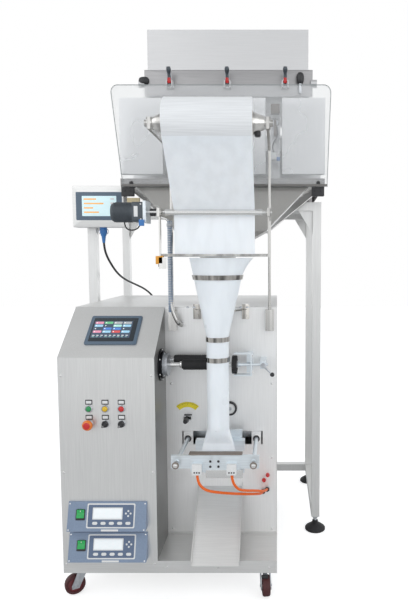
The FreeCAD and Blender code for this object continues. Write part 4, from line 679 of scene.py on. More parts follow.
def film_rack():
    """The feed roller, the roll's stop, the conduit's ribs and the film sensor: profiles turned
    about each axis, and rounded plates."""
    # painted reflection: the rack's rods and the roll's shaft carry streaks of light and dark in
    # their colour
    dress(FINISHES["rod_painted_reflection_finish"], "film_rack", "roll_shaft")
    origin = shaft_line("feed_spin")
    surfaces = Surfaces()
    surfaces.turn(0, rod(11.5, -180, 180, 1), origin, "X", 48)
    surfaces.turn(0, rod(6, *ends(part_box("feed_roller"))), origin, "X", 32)
    left = RACK_POST - 33
    surfaces.turn(1, [(6, left), (13, left), (14, left + 1), (14, left + 8.6), (12.6, left + 9),
                      (12.6, left + 11), (14, left + 11.4), (14, left + 19), (13, left + 20),
                      (6, left + 20)], origin, "X", 40)
    surfaces.make("feed_roller_skin", "feed_roller", "polished_steel",
                  [polished(), black_plastic()], ["feed_roller"])
    roll = drawn(JOINTS["unwind"]["pos_m"])
    surfaces = Surfaces()
    surfaces.turn(0, [(0, -46), (8, -46), (10.6, -43), (11.4, -36), (10.6, -30), (7, -27),
                      (3.4, -26), (3.4, -12), (0, -12)], at(166, roll[1], roll[2]), "Z", 32)
    surfaces.make("roll_stop_knob", "root", "black_plastic", [black_plastic()])
    surfaces = Surfaces()
    foot, pitch = 1130, 6.9
    for z in foot + pitch * np.arange(54):
        surfaces.turn(0, [(9.15, -2.6), (10.2, -1.3), (10.4, 0), (10.2, 1.3), (9.15, 2.6)],
                      at(*CONDUIT, z), "Z", 20)
    surfaces.turn(1, [(9.2, -14), (12.5, -14), (13.2, -13), (13.2, -2), (11, 0), (11, 10),
                      (9.3, 11)], at(CONDUIT[0], CONDUIT[1] + 0.3, 1490), "Z", 6)
    surfaces.make("side_conduit_ribs", "root", "slate_plastic",
                  [FINISHES["conduit_finish"], zinc()])
    surfaces = Surfaces()
    surfaces.plate(0, (-216, -95, 1327), (-190, -69, 1357), "X", 3, 1.2)
    surfaces.turn(1, [(0, 0), (5, 0), (5, 9), (4, 10), (0, 10)], at(CONDUIT[0], -82, 1317), "Z",
                  20)
    surfaces.make("film_sensor_cover", "root", "yellow_plastic",
                  [FINISHES["sensor_finish"], black_plastic()])


def feed_motor():
    """The motor's can has fine cooling ribs: a profile whose radius steps round each rib."""
    axis, origin = drawn(JOINTS["feed_spin"]["pos_m"]), shaft_line("feed_spin")
    face = RACK_POST - 41
    gear = face - 11
    can = gear - 41
    surfaces = Surfaces()
    surfaces.plate(1, (gear, axis[1] - 40, axis[2] - 40), (face, axis[1] + 40, axis[2] + 40), "X",
                   4, 1)
    surfaces.plate(0, (can, axis[1] - 36, axis[2] - 36), (gear, axis[1] + 36, axis[2] + 36), "X",
                   9, 1.5)
    profile = [(35, can)]
    for rib in np.linspace(can - 8, can - 66, 13):
        profile += [(35.3, rib + 1.4), (36.9, rib + 1.0), (36.9, rib - 1.0), (35.3, rib - 1.4)]
    profile += [(36, can - 73), (34, can - 75), (32, can - 75), (31.5, can - 79.4),
                (30, can - 80), (0, can - 80)]
    surfaces.turn(0, profile, origin, "X", 64)
    surfaces.plate(2, (can + 8, axis[1] - 36.6, axis[2] - 18),
                   (can + 22, axis[1] - 35.8, axis[2] + 20), "Y", 1, 0.3)
    screws(surfaces, [(can + 33, axis[1] - 36, axis[2] + up) for up in (27, -27)], "Y", 3, 2, 3)
    for side in (-1, 1):
        surfaces.turn(3, [(0, face), (4, face), (4, face + 35.8), (0, face + 35.8)],
                      at(0, axis[1] + 19 * side, axis[2]), "X", 16)
    surfaces.plate(4, (face - 22, axis[1] - 58, axis[2] - 52),
                   (face - 4, axis[1] - 44, axis[2] - 30), "Z", 3, 1)
    lead = [(-330, -85, 1480), (-328, -86, 1464), (-314, -88, 1452), (-292, -89, 1452),
            (-275, -88, 1463), (-270, -86, 1480.7)]
    surfaces.add(sweep(smooth_path(lead, 40), 2.5 * MM, 12), 5)
    surfaces.make("feed_motor_skin", "root", "motor_grey",
                  [FINISHES["motor_finish"], milled(), white_plastic(), polished(),
                   FINISHES["blue_plug_finish"], black_rubber()], ["film_motor"])


def smooth_path(points, steps):
    """The quadratic curve that a cord's points stand for, read back from a spline of its own."""
    curve = bpy.data.curves.new("cord_path", "CURVE")
    curve.dimensions = "3D"
    curve.resolution_u = steps
    spline = curve.splines.new("NURBS")
    spline.points.add(len(points) - 1)
    for point, place in zip(spline.points, points):
        point.co = (*at(*place), 1)
    spline.order_u = 3
    spline.use_endpoint_u = True
    holder = bpy.data.objects.new("cord_path", curve)
    bpy.context.scene.collection.objects.link(holder)
    bpy.context.view_layer.update()
    mesh = bpy.data.meshes.new_from_object(holder)
    path = np.array([vertex.co[:] for vertex in mesh.vertices])
    bpy.data.objects.remove(holder)
    bpy.data.meshes.remove(mesh)
    bpy.data.curves.remove(curve)
    keep = np.concatenate([[True], np.linalg.norm(np.diff(path, axis=0), axis=1) > 1e-6])
    return path[keep]


def forming_set():
    """The tube and its cone: profiles turned about the tube's axis, the cone's upper ring moved
    back with its height so that its mouth lies over the back of the tube."""
    tube = Surfaces()
    wall = [(TUBE_OUTER, TUBE_FOOT), (TUBE_OUTER, CONE_FOOT), (TUBE_INNER, CONE_FOOT),
            (TUBE_INNER, TUBE_FOOT), (TUBE_OUTER, TUBE_FOOT)]
    tube.turn(0, wall, TUBE_AXIS, "Z", 96)
    heights = np.linspace(CONE_FOOT, CONE_HEAD, 40)
    share = (heights - CONE_FOOT) / (CONE_HEAD - CONE_FOOT)
    outer, inner = [turned(list(zip(radius + CONE_SPREAD * share, heights)), TUBE_AXIS, "Z", 96)
                    for radius in (TUBE_OUTER, TUBE_INNER)]
    for grid in (outer, inner):
        grid[..., 1] += (CONE_SHIFT * share * MM)[:, None]
    tube.add(np.concatenate([outer, inner[::-1], outer[:1]]), 0)
    tube.make("forming_tube_skin", "root", "polished_steel", [FINISHES["tube_finish"]],
              ["forming_tube"])
    # painted reflection: the hoops' colour has strong upright bands of light and dark that stand
    # in for the room they mirror
    dress(FINISHES["hoop_painted_reflection_finish"], "former_hoops")
    surfaces = Surfaces()
    screws(surfaces, [(x, 60, 1150.4) for x in (-126, -100, 87, 113)], "Z", 6.5, 6, 0, 1)
    surfaces.make("former_bolts", "root", "polished_steel", [zinc()])


def jaws():
    """The white connectors, the bars and the screws of the front jaw: rounded plates, and
    profiles turned about each axis."""
    dress(milled(), "front_jaw", "rear_jaw")
    front = drawn_box(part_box("front_jaw"))[0][1]
    surfaces = Surfaces()
    for x in (-64, 64):
        surfaces.plate(0, (x - 18, front - 11, 550), (x + 18, front + 3, 590), "Y", 3, 1)
        for hole in (-9, 0, 9):
            surfaces.turn(3, [(0, -11.4), (3, -11.4), (3.2, -11.2), (3.2, -9)],
                          at(x + hole, front, 560), "Y", 12)
    surfaces.plate(1, (-34, front + 14, 530), (104, front + 24, 560), "Y", 1.5, 0.6)
    for x in (-15, 15):
        for z in (579, 599):
            surfaces.turn(3, [(0, -0.5), (4.4, -0.5), (4.8, 0.1), (0, 0.1)], at(x, front, z), "Y",
                          24)
    for x in (-JAW_ROD, JAW_ROD):
        surfaces.turn(2, [(0, -1.6), (12.6, -1.6), (13.4, -0.8), (13.4, 0.1), (0, 0.1)],
                      at(x, front, 583), "Y", 32)
    screws(surfaces, [(x, front - 1.4, 583) for x in (-JAW_ROD, JAW_ROD)], "Y", 9, 6, 1)
    surfaces.plate(2, (-101, front + 31, 606), (101, front + 66, 614), "Y", 1.5, 0.5)
    surfaces.make("jaw_connectors", "front_jaw", "machined_aluminium",
                  [white_plastic(), polished(), FINISHES["jaw_bar_finish"], black_plastic()])


def heater_cable(name, points, nodes):
    """A braided sleeve: a circle carried along the cable's path, its radius rippled a little as
    the braid crosses itself. It runs between the wall and the front jaw."""
    path = smooth_path(points, 14)
    ripple = 0.12 * np.cos(np.arange(len(path)) * 2.1)
    surfaces = Surfaces()
    surfaces.add(sweep(path, (5 + ripple) * MM, 18), 0)
    piece = surfaces.make(name, None, "orange_sleeve", [FINISHES["orange_finish"]], nodes, 60)
    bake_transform(piece)


# ---- console --------------------------------------------------------------------------------


def leaning(angle):
    """Across, up along a face that leans back by an angle from level, and out of it."""
    return np.stack([(1, 0, 0), (0, math.cos(angle), math.sin(angle)),
                     (0, -math.sin(angle), math.cos(angle))], axis=1)


def touch_screen():
    """A bezel with a softened edge, a glass and tiles of plain colour, each a rounded plate laid
    on the console's slope."""
    centre, share = -419.75, 0.512
    origin = at(centre, FRONT_PLANE + share * CONSOLE_RUN, CONSOLE_FOOT + share * CONSOLE_CLIMB)
    face = leaning(CONSOLE_SLOPE)
    surfaces = Surfaces()
    tile = surfaces.tiles(origin, face)
    tile((-102.5, -76.5, 0), (102.5, 76.5, 6.4), 0, 7, 2)
    tile((-91, -65.5, -37.5), (91, 65.5, 0.4), 3, 3, 1)
    tile((-89, -63, 6.2), (89, 63, 6.7), 1, 4, 0.2)
    tile((-84, -44.5, 6.5), (70, 45.5, 6.85), 2, 1, 0.1)
    rows = [(36, (4, 5, 6, 6)), (20, (7, 8, 9, 7)), (4, (8, 10, 10, 8)), (-12, (4, 7, 11, 7))]
    for z, paints in rows:
        for column, paint in enumerate(paints):
            left = -80 + column * 37.5
            tile((left, z - 6, 6.8), (left + 33, z + 6, 7.0), paint, 2.5, 0.08)
            dot = [(0, 7.1), (2.6, 7.1), (2.6, 6.9)]
            surfaces.studs(12, dot, [(left + 6, z)], origin, face, 16)
    for column in range(9):
        left = -79 + column * 16.5
        tile((left, -33, 6.8), (left + 10, -30, 7.0), 12, 1.2, 0.08)
        tile((left, -40, 6.8), (left + 10 - 2 * (column % 3), -38, 7.0), 9, 0.8, 0.08)
    colours = ((0.75, 0.30, 0.42), (0.16, 0.52, 0.26), (0.42, 0.44, 0.46), (0.34, 0.60, 0.78),
               (0.06, 0.09, 0.13), (0.42, 0.74, 0.66), (0.10, 0.24, 0.62), (0.66, 0.10, 0.10),
               (0.86, 0.88, 0.90))
    materials = [slate_plastic(), gloss("screen_glass", (0.02, 0.03, 0.04)),
                 lit("screen_ground", (0.07, 0.10, 0.15), 0.25), black_plastic()]
    materials += [lit("screen_tile_%d" % index, colour, 0.35)
                  for index, colour in enumerate(colours)]
    surfaces.make("touch_screen_face", "root", "slate_plastic", materials, ["touch_screen"])


BUTTONS = ((-491, "green"), (-428.5, "yellow"), (-366, "red"))
UPPER_ROW, LOWER_ROW = 772, 713


def push_buttons():
    """Collars and domed caps, turned about each axis, and a label over each."""
    surfaces = Surfaces()
    collar = [(11.3, -6), (12.6, -6), (14.2, -4.8), (14.5, -3.2), (14.5, -0.1), (11.3, -0.1),
              (11.3, -6)]
    for x, _ in BUTTONS:
        for z in (UPPER_ROW, LOWER_ROW):
            surfaces.turn(0, collar, at(x, FRONT_PLANE, z), "Y", 48)
            surfaces.plate(1, (x - 13.5, FRONT_PLANE - 1.5, z + 16),
                           (x + 13.5, FRONT_PLANE, z + 35), "Y", 2, 0.4)
            surfaces.plate(2, (x - 10.5, FRONT_PLANE - 1.7, z + 20),
                           (x + 10.5, FRONT_PLANE - 1.3, z + 31), "Y", 1.2, 0.1)
    surfaces.make("button_collars", "root", "black_plastic",
                  [zinc(), black_plastic(), white_plastic()], ["button_bezels"])
    cap = [(0, -6.3), (4, -6.1), (7, -5.4), (9, -4.1), (10.2, -2.2), (10.5, 0), (10.5, 39),
           (0, 39)]
    tints = {"green": (0.02, 0.30, 0.09), "yellow": (0.78, 0.50, 0.02), "red": RED}
    for x, colour in BUTTONS:
        surfaces = Surfaces()
        surfaces.turn(0, [(r, h + 1.3 if h < 0 else h) for r, h in cap],
                      at(x, FRONT_PLANE - 6, UPPER_ROW), "Y", 40)
        surfaces.make("button_%s_cap" % colour, "button_" + colour, colour + "_plastic",
                      [gloss("button_" + colour, tints[colour])], ["button_" + colour])


def emergency_stop():
    """A mushroom head and its rings, turned about the button's axis."""
    mushroom = [(0, -28), (6, -27.8), (12, -27), (16, -25), (18.8, -21.5), (20, -17.4),
                (19.4, -14), (17, -12), (12, -10), (10.5, -8.8), (10.5, 39), (0, 39)]
    ring = [(10.5, -10.4), (14, -11.2), (16.6, -11.5), (17.6, -10.4), (17.2, -8.6), (14, -7.8),
            (10.5, -7.6), (10.5, -10.4)]
    surfaces = Surfaces()
    place = at(BUTTONS[0][0], FRONT_PLANE - 6, LOWER_ROW)
    surfaces.turn(0, mushroom, place, "Y", 56)
    surfaces.turn(1, ring, place, "Y", 56)
    rim = [(13.4, -26.9), (16.3, -25.5), (19.1, -21.9), (20.5, -17.4), (19.7, -16.6), (15, -20),
           (13.4, -26.9)]
    surfaces.turn(1, rim, place, "Y", 56)
    surfaces.make("emergency_stop_head", "emergency_stop", "red_plastic",
                  [gloss("button_red", RED), gloss("stop_ring", (0.80, 0.20, 0.02))],
                  ["emergency_stop"])


def selectors():
    """A turned knob and collar, and a slanted grip with a white mark."""
    lean = math.radians(45)
    grip_turn = np.array([(math.cos(lean), 0, -math.sin(lean)), (0, 1, 0),
                          (math.sin(lean), 0, math.cos(lean))])
    knob = [(0, -8), (10.2, -8), (10.5, -7.6), (10.5, 39), (0, 39)]
    collar = [(10.4, -8.3), (11.5, -8.3), (13.3, -1.2), (13.4, -0.3), (10.4, -0.3), (10.4, -8.3)]
    for side, (x, _) in zip(("left", "right"), BUTTONS[1:]):
        place = at(x, FRONT_PLANE - 6, LOWER_ROW)
        surfaces = Surfaces()
        surfaces.turn(0, knob, place, "Y", 40)
        surfaces.turn(0, collar, place, "Y", 40)
        surfaces.add(placed(plate((-13, -17, -3.5), (13, -7, 3.5), "Y", 3, 1.2), place, grip_turn),
                     0)
        surfaces.add(placed(plate((-11, -17.3, -0.7), (-2, -16.9, 0.7), "Y", 0.5, 0.1), place,
                            grip_turn), 1)
        surfaces.make("selector_%s_knob" % side, "selector_" + side, "black_plastic",
                      [black_plastic(), white_plastic()], ["selector_" + side])


def controllers():
    """Each front has a pale frame round a dark panel, a plain display, round and oval keys, and a
    rocker with two slopes that meet at a valley."""
    dress(controller_paint(), "seal_controllers")
    face = leaning(CONTROLLER_LEAN)
    for name, foot in CONTROLLER_FEET:
        origin = at(CONTROLLER_LEFT, FRONT_PLANE - 38, foot)
        surfaces = Surfaces()
        tile = surfaces.tiles(origin, face)
        tile((74, 12, -1), (260, 103, 1.0), 0, 5, 0.6)
        tile((79, 17, 0.8), (255, 98, 1.6), 1, 4, 0.3)
        tile((96, 44, 1.4), (212, 88, 2.2), 0, 2, 0.3)
        tile((100, 48, 2.0), (208, 84, 2.6), 2, 1.5, 0.2)
        for column in range(5):
            x = 107 + column * 32
            tile((x - 10, 25, 1.4), (x + 10, 36, 2.8), 0, 5.4, 0.5)
        surfaces.studs(0, [(0, 2.8), (3.2, 2.8), (3.8, 2.2), (3.8, 1.4)],
                       ((225, 66), (243, 66), (234, 75), (234, 57)), origin, face, 20)
        tile((132, 1, -0.6), (198, 8, 0.6), 0, 1.5, 0.2)
        tile((31, 41, -0.5), (67, 81, 1.6), 3, 3, 0.6)
        surfaces.studs(4, [(0, 1.6), (2.4, 1.5), (3, 0.4), (3, -0.4)],
                       ((6, 6), (297, 6), (6, 102), (297, 102)), origin, face, 16)
        surfaces.make("controller_%s_face" % name, "root", "controller_blue",
                      [white_plastic(), FINISHES["controller_dark_finish"],
                       lit("controller_display", (0.80, 0.84, 0.86), 0.25), black_plastic(),
                       polished()])
        surfaces = Surfaces()
        middle = sum(drawn_box(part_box("rocker_" + name))) / 2
        seat = at(middle[0], *drawn(JOINTS["rocker_%s_switch" % name]["pos_m"])[1:])
        reach, half = 12, 14.6
        slope = np.linspace(-1, 1, 15)
        line = [(reach * 0.55 + 2.6 * abs(t) ** 1.5, 15.5 * t) for t in slope]
        line = [(1, -15.5)] + line + [(1, 15.5)]
        block = []
        for x, shrink in ((-half, 0), (-half, 1), (-half + 0.8, 1), (half - 0.8, 1), (half, 1),
                          (half, 0)):
            inset = 0.92 if abs(x) == half else 1
            block.append([(x, 0.0 if not shrink else v * inset,
                           4.0 if not shrink else out * inset) for out, v in line])
        block = np.array(block)
        surfaces.add(placed(TUBE_AXIS + block * MM, seat, face), 0)
        tile = surfaces.tiles(seat, face)
        tile((-1, 7, 7.8), (1, 12, 9.0), 1, 0.6, 0.2)
        surfaces.make("rocker_%s_cap" % name, "rocker_" + name, "green_plastic",
                      [gloss("rocker_green", (0.02, 0.42, 0.10)), white_plastic()],
                      ["rocker_" + name], 30)


# ---- cabinet and bay ------------------------------------------------------------------------


def cabinet():
    """The sheet work keeps the CAD surfaces, and turned screw heads are laid on it."""
    dress(steel(), "base_frame", "cabinet_shell", "rear_cover", "discharge_chute")
    dress(FINISHES["wall_finish"], "bay_back_panel")
    # painted shade: the console's side sheet, which faces +X, is coloured darker than its front
    dress(FINISHES["console_painted_shade_finish"], "console_shell")
    dress(black_plastic(), "scale_lever")
    surfaces = Surfaces()
    screws(surfaces, [(x, FRONT_PLANE, z) for z in (150, 520, 900) for x in (-596, -249)],
           "Y", 4, 1.6, 0)
    screws(surfaces, [(x, WALL_PLANE, z) for x in (-215, 210) for z in (185, 500, 820, 1110)],
           "Y", 4.5, 2, 0)
    screws(surfaces, [(x, FRONT_PLANE, 135) for x in (-200, 0, 200)], "Y", 4, 1.6, 0)
    surfaces.make("panel_screws", "root", "zinc_plate", [polished()])


def on_scale(radius, swing, rise):
    """A point on an arc of the angle scale, standing off the bay's wall."""
    return at(SCALE_X + radius * math.cos(swing), WALL_PLANE - rise,
              SCALE_Z + radius * math.sin(swing))


def angle_scale():
    """A flat yellow arc, thin marks drawn along its radii, and a bar across it."""
    surfaces = Surfaces()
    for turn in np.arange(50, 131, 4):
        inner = 58 if (turn - 50) % 20 == 0 else 62.5
        line = [on_scale(r, math.radians(turn), 2.2) for r in np.linspace(inner, 68, 4)]
        surfaces.add(sweep(line, 0.45 * MM, 6), 1)
    outer = [on_scale(r, a, 2.15)
             for a in np.linspace(math.radians(46), math.radians(134), 40) for r in (47, 69.5)]
    band = np.array(outer).reshape(40, 2, 3)
    depth = np.array([0, 0.3, 0]) * MM
    loop = np.stack([band[:, 0], band[:, 1], band[:, 1] + depth, band[:, 0] + depth], axis=1)
    surfaces.add(loop, 0, folded=True)
    surfaces.plate(1, (SCALE_X - 14, WALL_PLANE - 5, 684), (SCALE_X + 18, WALL_PLANE - 0.5, 689),
                   "Y", 1.5, 0.5)
    surfaces.make("angle_scale_marks", "root", "yellow_plastic",
                  [FINISHES["scale_finish"], black_plastic()])


def bay_fittings():
    """The round fitting, the rods' flanges and the conduit's plug, turned about their axes."""
    surfaces = Surfaces()
    fitting, plug = at(33, WALL_PLANE, 715), at(-168, WALL_PLANE, 1073)
    ring = [(0, -8), (22, -8), (23, -13), (27, -14), (29.4, -12), (30, -8), (30, 0), (0, 0)]
    surfaces.turn(0, ring, fitting, "Y", 64)
    surfaces.turn(1, [(0, -15), (7, -15), (8, -14), (8, -9.9), (0, -9.9)], fitting, "Y", 6)
    surfaces.turn(2, [(0, -10), (20, -10), (21.6, -9), (21.8, -7.9), (0, -7.9)], fitting, "Y", 56)
    for x in (-JAW_ROD, JAW_ROD):
        surfaces.turn(0, [(8.4, -1.6), (9, -2.2), (13.6, -2.2), (14.7, -1.2), (14.7, 0.1),
                          (8.4, 0.1), (8.4, -1.6)], at(x, WALL_PLANE - 14, 587), "Y", 40)
    # the plug beside the lower end of the side conduit
    surfaces.turn(0, [(0, -24), (6, -23.4), (8.4, -20.5), (8.8, -16), (8.8, -5), (0, -5)], plug,
                  "Y", 32)
    surfaces.turn(1, [(0, -6), (11, -6), (12.4, -5), (12.4, -1.2), (11, 0), (0, 0)], plug, "Y", 6)
    surfaces.make("bay_round_fitting", "root", "black_plastic",
                  [black_plastic(), zinc(), white_plastic()])


def jaw_supply():
    """The fittings where the heater cables and the leads above them enter the bay wall: profiles
    turned about each hole's axis."""
    surfaces = Surfaces()
    for x, z in ((172, 352), (190, 362)):
        surfaces.turn(0, [(0, -10), (9.4, -10), (10.4, -9), (10.4, -3), (8.2, -2.4), (8.2, 0),
                          (0, 0)], at(x, WALL_PLANE, z), "Y", 6)
    for x, z in ((176, 402), (192, 424)):
        surfaces.turn(1, [(0, -16), (4.6, -16), (5.4, -14.6), (5.4, -6), (8.6, -5.4), (8.6, 0),
                          (0, 0)], at(x, WALL_PLANE, z), "Y", 24)
    surfaces.make("supply_fittings", "root", "black_plastic",
                  [black_plastic(), gloss("button_red", RED)])


# ---- stand and weigher ----------------------------------------------------------------------


def stand():
    """Rubber feet, threads and nuts: profiles turned about each foot's axis."""
    dress(upright_steel(), "stand_frame")
    surfaces = Surfaces()
    foot = [(0, 0), (48, 0), (50, 2), (50, 9), (48, 12), (30, 25), (18, 31), (15, 34), (15, 40),
            (14, 41), (14, 46), (8, 46), (8, 70), (0, 70)]
    low, high = drawn_box(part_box("stand_feet"))
    for x in (low[0] + 50, high[0] - 50):
        for y in (low[1] + 50, high[1] - 50):
            surfaces.turn(0, foot, at(x, y, 0), "Z", 48)
            thread = [(8 + 0.5 * (index % 2), 47 + index * 0.9) for index in range(24)]
            surfaces.turn(1, [(0, 46.5)] + thread + [(0, 69)], at(x, y, 0), "Z", 24)
            surfaces.turn(1, [(8, 58), (13, 58), (14, 59), (14, 67), (13, 68), (8, 68)],
                          at(x, y, 0), "Z", 6)
    surfaces.make("stand_feet_skin", "root", "black_rubber", [black_rubber(), zinc()],
                  ["stand_feet"])


def weigher():
    """The sheet work keeps the CAD surfaces; the funnel's brackets are rounded plates."""
    dress(bright_steel(), "weigh_buckets", "bucket_door_1", "bucket_door_2",
          "bucket_door_3", "bucket_door_4")
    dress(FINISHES["hopper_finish"], "storage_hopper")
    dress(FINISHES["panel_finish"], "feeder_unit")
    dress(FINISHES["funnel_finish"], "discharge_funnel")
    dress(FINISHES["tray_finish"], "weigher_base")
    surfaces = Surfaces()
    front, middle = 350, 1649
    for x in (-435, 415):
        surfaces.plate(0, (x - 28, front, middle - 25), (x + 28, front + 17, middle + 25), "Y", 4,
                       1.5)
        screws(surfaces, [(x - 12, front, middle), (x + 12, front, middle)], "Y", 5, 2.5, 0)
    surfaces.plate(2, (-436, front - 10, 1589), (-379, front, 1616), "Y", 3, 1)
    surfaces.make("funnel_brackets", "root", "black_plastic",
                  [black_plastic(), polished(), FINISHES["bracket_finish"]])


def bucket_drives():
    """The drive parts that show between the buckets: plates, turned motors and leads."""
    surfaces = Surfaces()
    for x in (-244, 224):
        surfaces.plate(0, (x - 20, 372, 1990), (x + 20, 398, 2034), "Y", 4, 1.5)
        surfaces.turn(1, [(0, -30), (13, -30), (15, -28), (15, 0), (0, 0)], at(x, 400, 1950), "Y",
                      32)
        surfaces.plate(0, (x - 6, 366, 1890), (x + 6, 374, 1962), "Y", 5, 1)
        surfaces.plate(2, (x - 22, 380, 1790), (x + 4, 404, 1822), "Y", 2, 1)
        surfaces.plate(3, (x + 6, 380, 1786), (x + 22, 402, 1802), "Y", 2, 1)
        lead = [at(x - 8, 378, 1822), at(x - 10, 362, 1850), at(x + 10, 366, 1900),
                at(x + 2, 384, 1950)]
        surfaces.add(sweep(bend(lead, 30), 2.6 * MM, 10), 4)
    surfaces.make("bucket_drive_parts", "root", "black_plastic",
                  [FINISHES["drive_finish"], zinc(), white_plastic(),
                   FINISHES["blue_plug_finish"], black_rubber()])


def bend(points, steps):
    """A smooth line through points, each stretch a cubic whose ends point along their
    neighbours."""
    points = np.array(points, float)
    before, after = 2 * points[:1] - points[1:2], 2 * points[-1:] - points[-2:-1]
    padded = np.concatenate([before, points, after])
    share = np.linspace(0, 1, steps, endpoint=False)[:, None]
    out = []
    for a, b, c, d in zip(padded, padded[1:], padded[2:], padded[3:]):
        out.append(0.5 * (2 * b + (c - a) * share + (2 * a - 5 * b + 4 * c - d) * share ** 2
                          + (3 * b - a - 3 * c + d) * share ** 3))
    return np.concatenate(out + [points[-1:]])


def clamps():
    """A toggle clamp: two bent rails, a dark rounded lever on top, a red grip under it and a
    pivot pin."""
    for name, x in (("clamp_left", -270), ("clamp_middle", 0), ("clamp_right", 270)):
        surfaces = Surfaces()
        spine = [at(x, 505, 2156), at(x, 504, 2176), at(x, 496, 2200), at(x, 487, 2218),
                 at(x, 480, 2229)]
        for side in (-7.5, 7.5):
            line = bend([point + np.array((side, 0, 0)) * MM for point in spine], 8)
            surfaces.add(sweep(line, 2.6 * MM, 12), 0)
        surfaces.turn(0, [(0, -13), (2.5, -13), (2.6, -12.6), (2.6, 12.6), (2.5, 13), (0, 13)],
                      at(x, 505, 2162), "X", 20)
        lever = bend(spine[1:], 8)
        steps = np.arange(len(lever))
        surfaces.add(sweep(lever, np.interp(steps, (0, 2, 9, 14, 18, len(lever) - 1),
                                            (6, 8.5, 7.4, 10.5, 11, 7)) * MM, 20), 2)
        grip = bend([at(x, 501, 2162), at(x, 497, 2169), at(x, 492, 2184)], 8)
        surfaces.add(sweep(grip, np.interp(np.arange(len(grip)), (0, 3, len(grip) - 1),
                                           (6.5, 8.8, 7.6)) * MM, 20), 1)
        surfaces.make(name + "_arm", name, "zinc_plate",
                      [zinc(), gloss("button_red", RED),
                       FINISHES["motor_finish"]], [name])


def slab(low, high, shift):
    """A thin four-cornered sheet between two edges of two points each, with its thickness laid
    along a shift, in millimetres."""
    shift = np.array(shift, float)
    rows = []
    for share in np.linspace(0, 1, 12):
        near = np.array(low[0], float) * (1 - share) + np.array(high[0], float) * share
        far = np.array(low[1], float) * (1 - share) + np.array(high[1], float) * share
        rows.append([near, far, far + shift, near + shift])
    return TUBE_AXIS + np.array(rows) * MM


def funnel_trim():
    """The funnel's dark side sheets, and a bead carried along each of their edges."""
    middle, knee_z, head_z = -10, 1460, 1668
    surfaces = Surfaces()
    for side in (-1, 1):
        knee = [(side * 186.6, y, knee_z) for y in (152, 322)]
        head = [(middle + side * 382.6, 364, head_z), (middle + side * 441.6, 491, head_z)]
        surfaces.add(slab(knee, head, (side * 0.8, 0, -0.8)), 0, caps=True)
        beads = ([at(side * 187, 151, knee_z - 1), at(side * 280, 257, 1563),
                  at(middle + side * 383, 363, head_z - 1)],
                 [at(side * 187, 321, knee_z - 1), at(middle / 2 + side * 314, 406, 1563),
                  at(middle + side * 442, 490, head_z - 1)])
        for bead in beads:
            surfaces.add(sweep(bend(bead, 8), 3.4 * MM, 12), 1)
    surfaces.make("funnel_side_sheets", "root", "brushed_stainless",
                  [FINISHES["side_sheet_finish"], polished()], (), 30)


def hopper_trim():
    """The hopper's folded band, and its knobs turned about their axes."""
    surfaces = Surfaces()
    left, right, front = -393, 400, 530.6
    surfaces.plate(0, (left, front, 2107), (right, front + 2, 2231), "Y", 2, 0.6)
    surfaces.plate(1, (left, front, 2228.6), (right, front + 14, 2231.4), "Z", 2, 0.6)
    surfaces.make("hopper_band", "root", "brushed_stainless",
                  [FINISHES["band_finish"], bright_steel()])
    surfaces = Surfaces()
    side_knob, top_knob = -395, 341
    round_knob = [(0, -26), (9, -26), (16, -23), (20, -16), (21.5, -4), (21.5, 8), (19, 18),
                  (13, 24), (5, 27), (0, 27)]
    surfaces.turn(0, [(radius, height * 0.96) for radius, height in round_knob],
                  at(side_knob, 538, 2180), "X", 40)
    surfaces.turn(0, [(radius * 0.82, height) for radius, height in round_knob],
                  at(top_knob, 520, 2190), "Z", 40)
    surfaces.turn(1, [(0, -46), (7, -46), (7.5, -45), (7.5, 0), (0, 0)], at(top_knob, 520, 2166),
                  "Z", 28)
    for x in (side_knob, top_knob):
        surfaces.turn(1, [(0, -8), (5, -8), (5, 8), (0, 8)], at(x, 538, 2180), "Y", 16)
    surfaces.make("hopper_knobs", "root", "black_plastic", [black_plastic(), zinc()])


def guard():
    """A clear sheet with rounded upper corners that leans out from a fold at its foot."""
    foot, fold, head = 1664.0, 1694.0, 2059.0
    near, lean = 349.0, 150.0
    half, corner = 455, 30
    levels = np.concatenate([np.linspace(foot, fold, 5), np.linspace(fold, head - corner, 10)[1:],
                             head - corner + corner * np.sin(np.linspace(0, np.pi / 2, 9)[1:])])
    rows = []
    for z in levels:
        above = max(z - head + corner, 0)
        inset = corner - math.sqrt(max(corner ** 2 - above ** 2, 0))
        out = near - lean * max(z - fold, 0) / (head - fold)
        across = np.linspace(-half + inset, half - inset, 25)
        front = np.stack([across, np.full(25, out - 6), np.full(25, z)], -1)
        back = np.stack([across[::-1], np.full(25, out), np.full(25, z)], -1)
        rows.append(np.concatenate([front, back]))
    surfaces = Surfaces()
    surfaces.add(TUBE_AXIS + np.array(rows) * MM, 0, folded=True)
    screws(surfaces, [(x, 343, 1681) for x in (-415, 0, 415)], "Y", 9, 4, 1)
    outline = np.array(rows)
    rim = np.concatenate([outline[:, 0], outline[-1, 1:24], outline[::-1, 24]])
    surfaces.add(sweep(TUBE_AXIS + (rim - (0, 1, 0)) * MM, 1.5 * MM, 8), 2)
    surfaces.plate(3, (-half, 338.5, 1666), (half, 342.4, 1676), "Y", 2, 0.6)
    surfaces.make("guard_sheet_skin", "root", "clear_acrylic",
                  [FINISHES["acrylic_finish"], black_plastic(), FINISHES["edge_finish"],
                   FINISHES["side_sheet_finish"]], ["guard_panel"])


